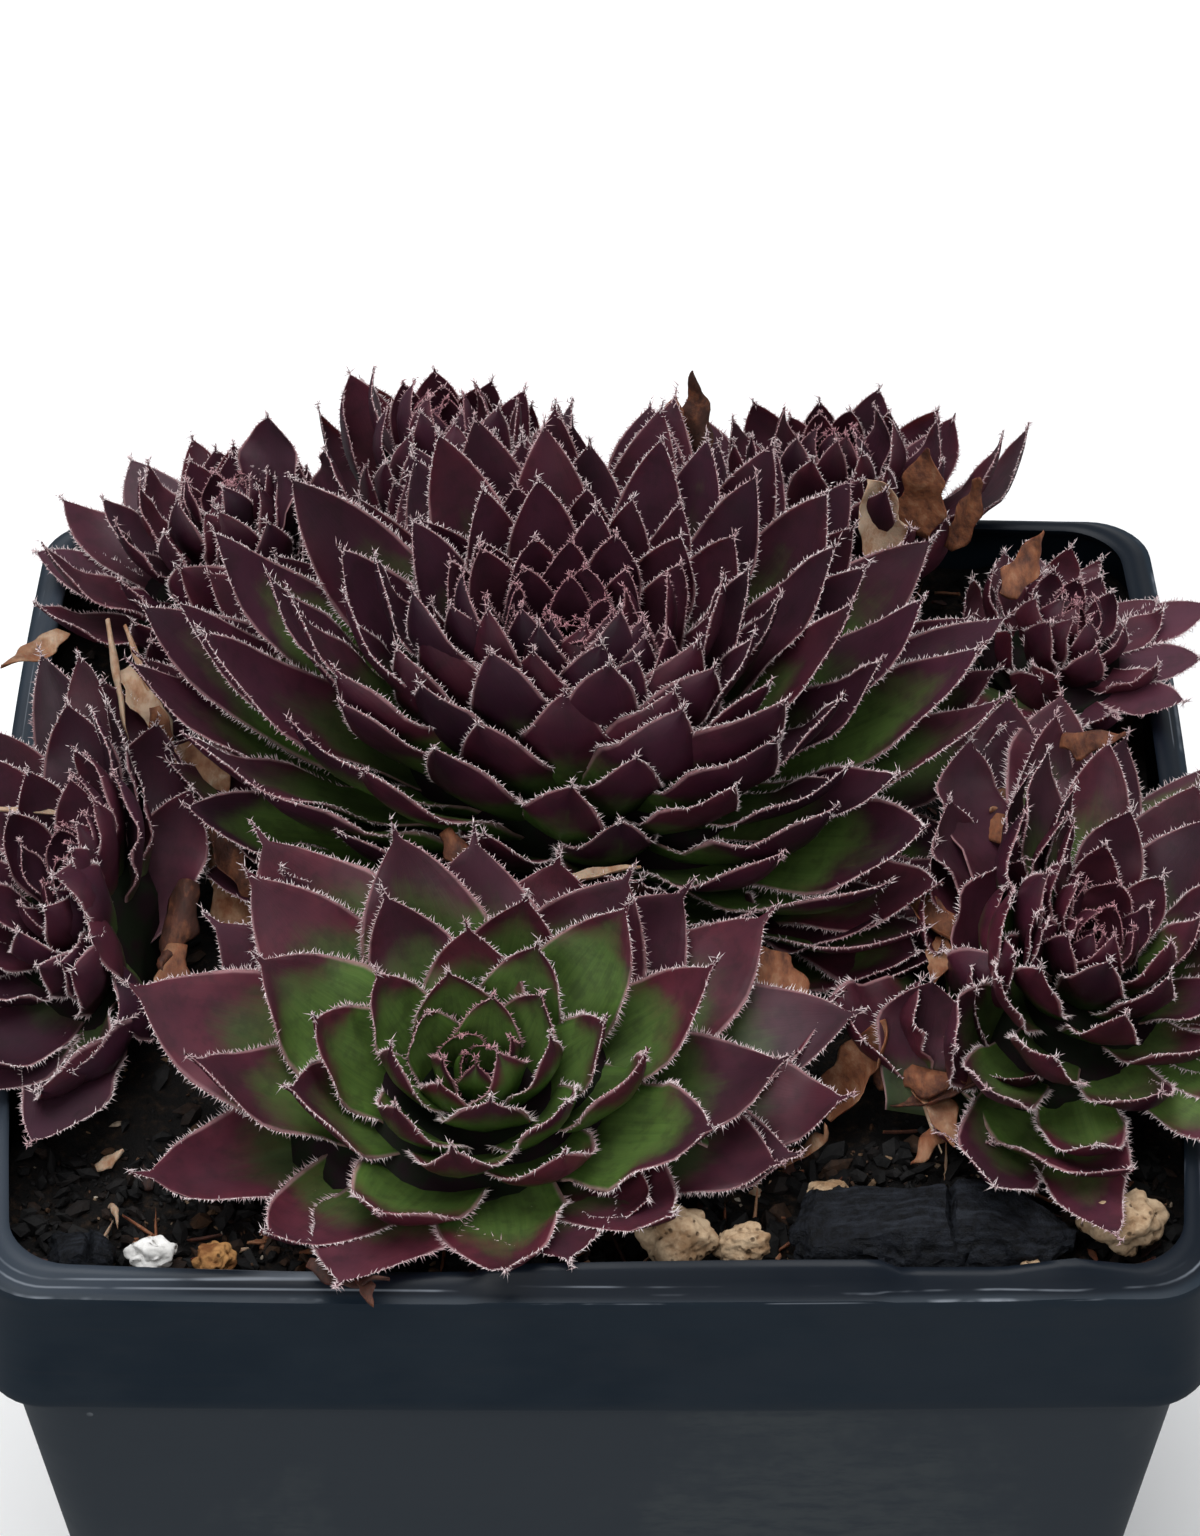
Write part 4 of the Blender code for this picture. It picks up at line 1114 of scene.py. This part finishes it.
def tissue(rows, blank):
    """Dry blades from a blank leaf, each crumpled by its own noise and rolled in at its sides."""
    data, corners = repeated(blank, len(rows))
    across, face, along = corners.T
    points = []
    for number, (foot, heading, climb, length, width, curl, _) in enumerate(rows):
        rise = np.radians(climb + curl * along * 0.5)
        way = np.stack((
            math.cos(math.radians(heading)) * np.cos(rise),
            math.sin(math.radians(heading)) * np.cos(rise), np.sin(rise),
        ), axis=1)
        side = way_to(heading + 90)
        over = np.cross(way, side)
        middle = np.array(foot) * MM + way_to(0, 90) * RIM_Z + way * (length * MM * along)[:, None]
        wide = width * 0.5 * MM * (0.5 + 0.5 * np.sin(np.minimum(along * 2, 1) * math.pi / 2))
        wide = wide * (1 - along**2.5) * (0.86 + 0.16 * np.sin(along * 15 + across * 4 + number))
        lifted = wide * 0.7 * np.abs(across) ** 2 * math.sin(number * 1.7) + face * 0.16 * MM
        spots = middle + side * (across * wide)[:, None] + over * lifted[:, None]
        for i, spot in enumerate(spots):
            crumple = noise.noise_vector(Vector(spot) / (2.0 * MM) + Vector((number * 7, 0, 0)))
            spots[i] = spot + np.array(crumple) * min(0.9, width * 0.25) * MM * along[i]
        points.append(spots)
    place_corners(data, np.concatenate(points))
    label(data, "tone", "FLOAT", np.repeat([row[-1] for row in rows], len(corners)))
    return data


def flakes(count, seed):
    """Scraps of dead leaf and short straws strewn over the mix, as rows for tissue."""
    strew = random.Random(seed)
    rows = []
    for _ in range(count):
        x, y = in_square(strew.uniform(-1, 1), strew.uniform(-1, 1), MIX_HALF - 3 * MM, MIX_CORNER)
        if strew.random() < 0.5:
            y = strew.uniform(-1, -0.66) * (MIX_HALF - 2 * MM)
        foot = (x / MM, y / MM, (mix_top(x, y) - RIM_Z) / MM + 0.35)
        straw = strew.random() < 0.35
        length = strew.uniform(2.0, 5.0) if straw else strew.uniform(0.8, 2.6)
        width = 0.35 if straw else length * strew.uniform(0.4, 0.8)
        heading, climb, curl = strew.uniform(0, 360), strew.uniform(-4, 22), 10
        rows.append((foot, heading, climb, length, width, curl, strew.random()))
    return rows


def straw_paint():
    """Papery brown tissue from dark brown through rust to pale straw, streaked and blotched."""
    paint = Paint(
        "dry_straw", Subsurface_Weight=0.15, Subsurface_Scale=0.5 * MM, Specular_IOR_Level=0.25
    )
    place = paint.place()
    tone = paint.labelled("tone")
    streak = paint.noise(place.scaled(1, 0.4, 1), 800, 4, 0.65)
    blotch = paint.noise(place, 300, 4, 0.6)
    colour = paint.ramp(
        tone + (streak - 0.5) * 1.1, (0.05, (0.014, 0.006, 0.005)), (0.35, (0.055, 0.020, 0.013)),
        (0.60, (0.20, 0.074, 0.034)), (0.82, (0.30, 0.165, 0.095)), (1.0, (0.42, 0.30, 0.21)),
    )
    colour = paint.mix(blotch.between(0.50, 0.72) * 0.6, colour, (0.085, 0.028, 0.018))
    paint.bump(streak, 0.8, 0.25 * MM)
    return paint.finish(colour, 0.7)


straw_material = straw_paint()
piece(
    "withered_leaves", tissue(WITHERED, blank_leaf()), straw_material,
    ["dry_leaf_left", "dry_leaf_right", "dry_leaf_front", "straw_left"],
)
scraps = tissue(flakes(FLAKES, 11), blank_leaf(sides=8, rings=6))
piece("litter", scraps, straw_material)


# The gravel: pumice and perlite, light frothy stones with pits, on the mix at the front. Each is
# rounded off from the box of its packed grain.
def stone(name, seed, rough, pits):
    """A knobbly grain: a ball drawn to its box, with knobs and pits from noise."""
    low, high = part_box(name)
    mesh = bmesh.new()
    bmesh.ops.create_icosphere(mesh, subdivisions=5, radius=1)
    middle, half = (low + high) / 2, (high - low) / 2
    for vert in mesh.verts:
        way = vert.co.copy()
        shift = Vector((seed * 3.7, seed, 0))
        lumps = noise.noise(way * 1.3 + shift) * rough * 1.3
        lumps += noise.noise(way * 2.6 + shift) * rough * 0.5
        grit = (noise.noise(way * 7 + shift) * 0.05 + noise.noise(way * 17 + shift) * 0.025) * pits
        pitted = max(0, noise.noise(way * 4.5 - shift) - 0.15) * pits * 0.6
        vert.co = middle + Vector([w * h for w, h in zip(way * (1.0 + lumps + grit - pitted), half)])
        vert.co.z = max(vert.co.z, low.z - 0.4 * MM)
    return mesh


def stone_paint(name, dark, light, pit):
    """A porous stone: dusty, paler on its knobs, and painted dark in its pits as the shade inside them.
    """
    paint = Paint(name, Specular_IOR_Level=0.2)
    place = paint.place()
    blotch = paint.noise(place, 420, 5, 0.65)
    pore = 1 - paint.cells(place, 1500).between(0.12, 0.36)
    open_pore = paint.noise(place, 600, 2).between(0.46, 0.56)
    colour = paint.mix(blotch.between(0.35, 0.68), dark, light)
    # Painted shade: the open pores are coloured dark for the shade inside them.
    colour = paint.mix(pore * open_pore * 0.85, colour, pit)
    paint.bump(blotch - pore * open_pore * 0.5, 0.9, 0.35 * MM)
    return paint.finish(colour, 0.9)


pumice_material = stone_paint(
    "pumice", (0.25, 0.150, 0.080), (0.55, 0.41, 0.27), (0.07, 0.038, 0.020)
)
rusty_material = stone_paint(
    "rusty_pumice", (0.16, 0.060, 0.020), (0.44, 0.23, 0.085), (0.03, 0.014, 0.008)
)
perlite_material = stone_paint(
    "perlite", (0.55, 0.54, 0.52), (0.84, 0.83, 0.81), (0.36, 0.34, 0.31)
)

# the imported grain, seed, how knobbly, material
STONES = (
    ("pumice_front_a", 1, 0.30, pumice_material), ("pumice_front_b", 2, 0.30, pumice_material),
    ("pumice_corner", 3, 0.36, pumice_material), ("pumice_edge", 4, 0.2, pumice_material),
    ("pumice_under_right", 5, 0.26, pumice_material), ("pumice_left", 6, 0.36, rusty_material),
)
for name, seed, rough, material in STONES:
    piece(name + "_stone", stone(name, seed, rough, 0.55), material, [name], sharp=180)
piece(
    "perlite_stone", stone("perlite_left", 9, 0.45, 0.25), perlite_material,
    ["perlite_left"], sharp=30,
)


# The charred bark: a flat black chip that lies at the front right and a smaller one at the left,
# split along the grain, with a crack across. One mesh for each.
def chip(name, seed):
    """A split slab: a rounded block drawn to its box, planed on top, crumbly below, with cracks."""
    low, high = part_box(name)
    mesh = bmesh.new()
    bmesh.ops.create_cube(mesh, size=2)
    bmesh.ops.subdivide_edges(mesh, edges=mesh.edges, cuts=44, use_grid_fill=True)
    middle, half = (low + high) / 2, (high - low) / 2
    for vert in mesh.verts:
        way = vert.co.copy()
        flat = max(0, way.z)
        way = way.lerp(way.normalized() * 1.25, 0.34)
        right, left = max(0, way.x) ** 2, max(0, -way.x) ** 3
        way.y = way.y * (1 - 0.25 * way.z) * (1 - 0.62 * right) - 0.2 * right
        way.z *= 1 - 0.42 * right - 0.2 * left
        spot = middle + Vector([w * h for w, h in zip(way, half)])
        shift = Vector((seed, seed, 0))
        step = noise.noise_vector(spot / (4.5 * MM) + shift) * 2
        ridge = noise.noise_vector(spot / (1.6 * MM)) * 0.6
        ridge += noise.noise_vector(spot / (0.6 * MM)) * 0.28
        vert.co = spot + step * 0.45 * MM + ridge * (1 - 0.75 * flat) * MM
        crack = math.exp(-(((spot.x - middle.x - 0.12 * half.x) / (0.28 * MM)) ** 2))
        vert.co.z -= crack * 0.9 * MM * max(0, way.z)
    return mesh


def char_paint():
    """Charcoal: blue-black with a graphite sheen, finely ruled along the split."""
    paint = Paint("charred_bark", Specular_IOR_Level=0.16)
    place = paint.place()
    grain = paint.noise(place, 1300, 5, 0.7)
    ruled = paint.noise(place.scaled(0.12, 1, 1), 1800, 3, 0.6)
    patch = paint.noise(place, 170, 2).between(0.42, 0.56)
    colour = paint.mix(grain.between(0.35, 0.7), (0.0014, 0.0017, 0.0026), (0.0090, 0.0108, 0.0155))
    colour = paint.mix(ruled.between(0.42, 0.70) * patch * 0.6, colour, (0.024, 0.028, 0.037))
    paint.bump(grain * 0.9 + ruled * 0.2, 1.0, 0.45 * MM)
    return paint.finish(colour, 0.5 + grain * 0.35)


char_material = char_paint()
piece("bark_chip", chip("bark_front", 2), char_material, ["bark_front"], sharp=30)
piece("bark_sliver", chip("bark_left", 5), char_material, ["bark_left"], sharp=30)
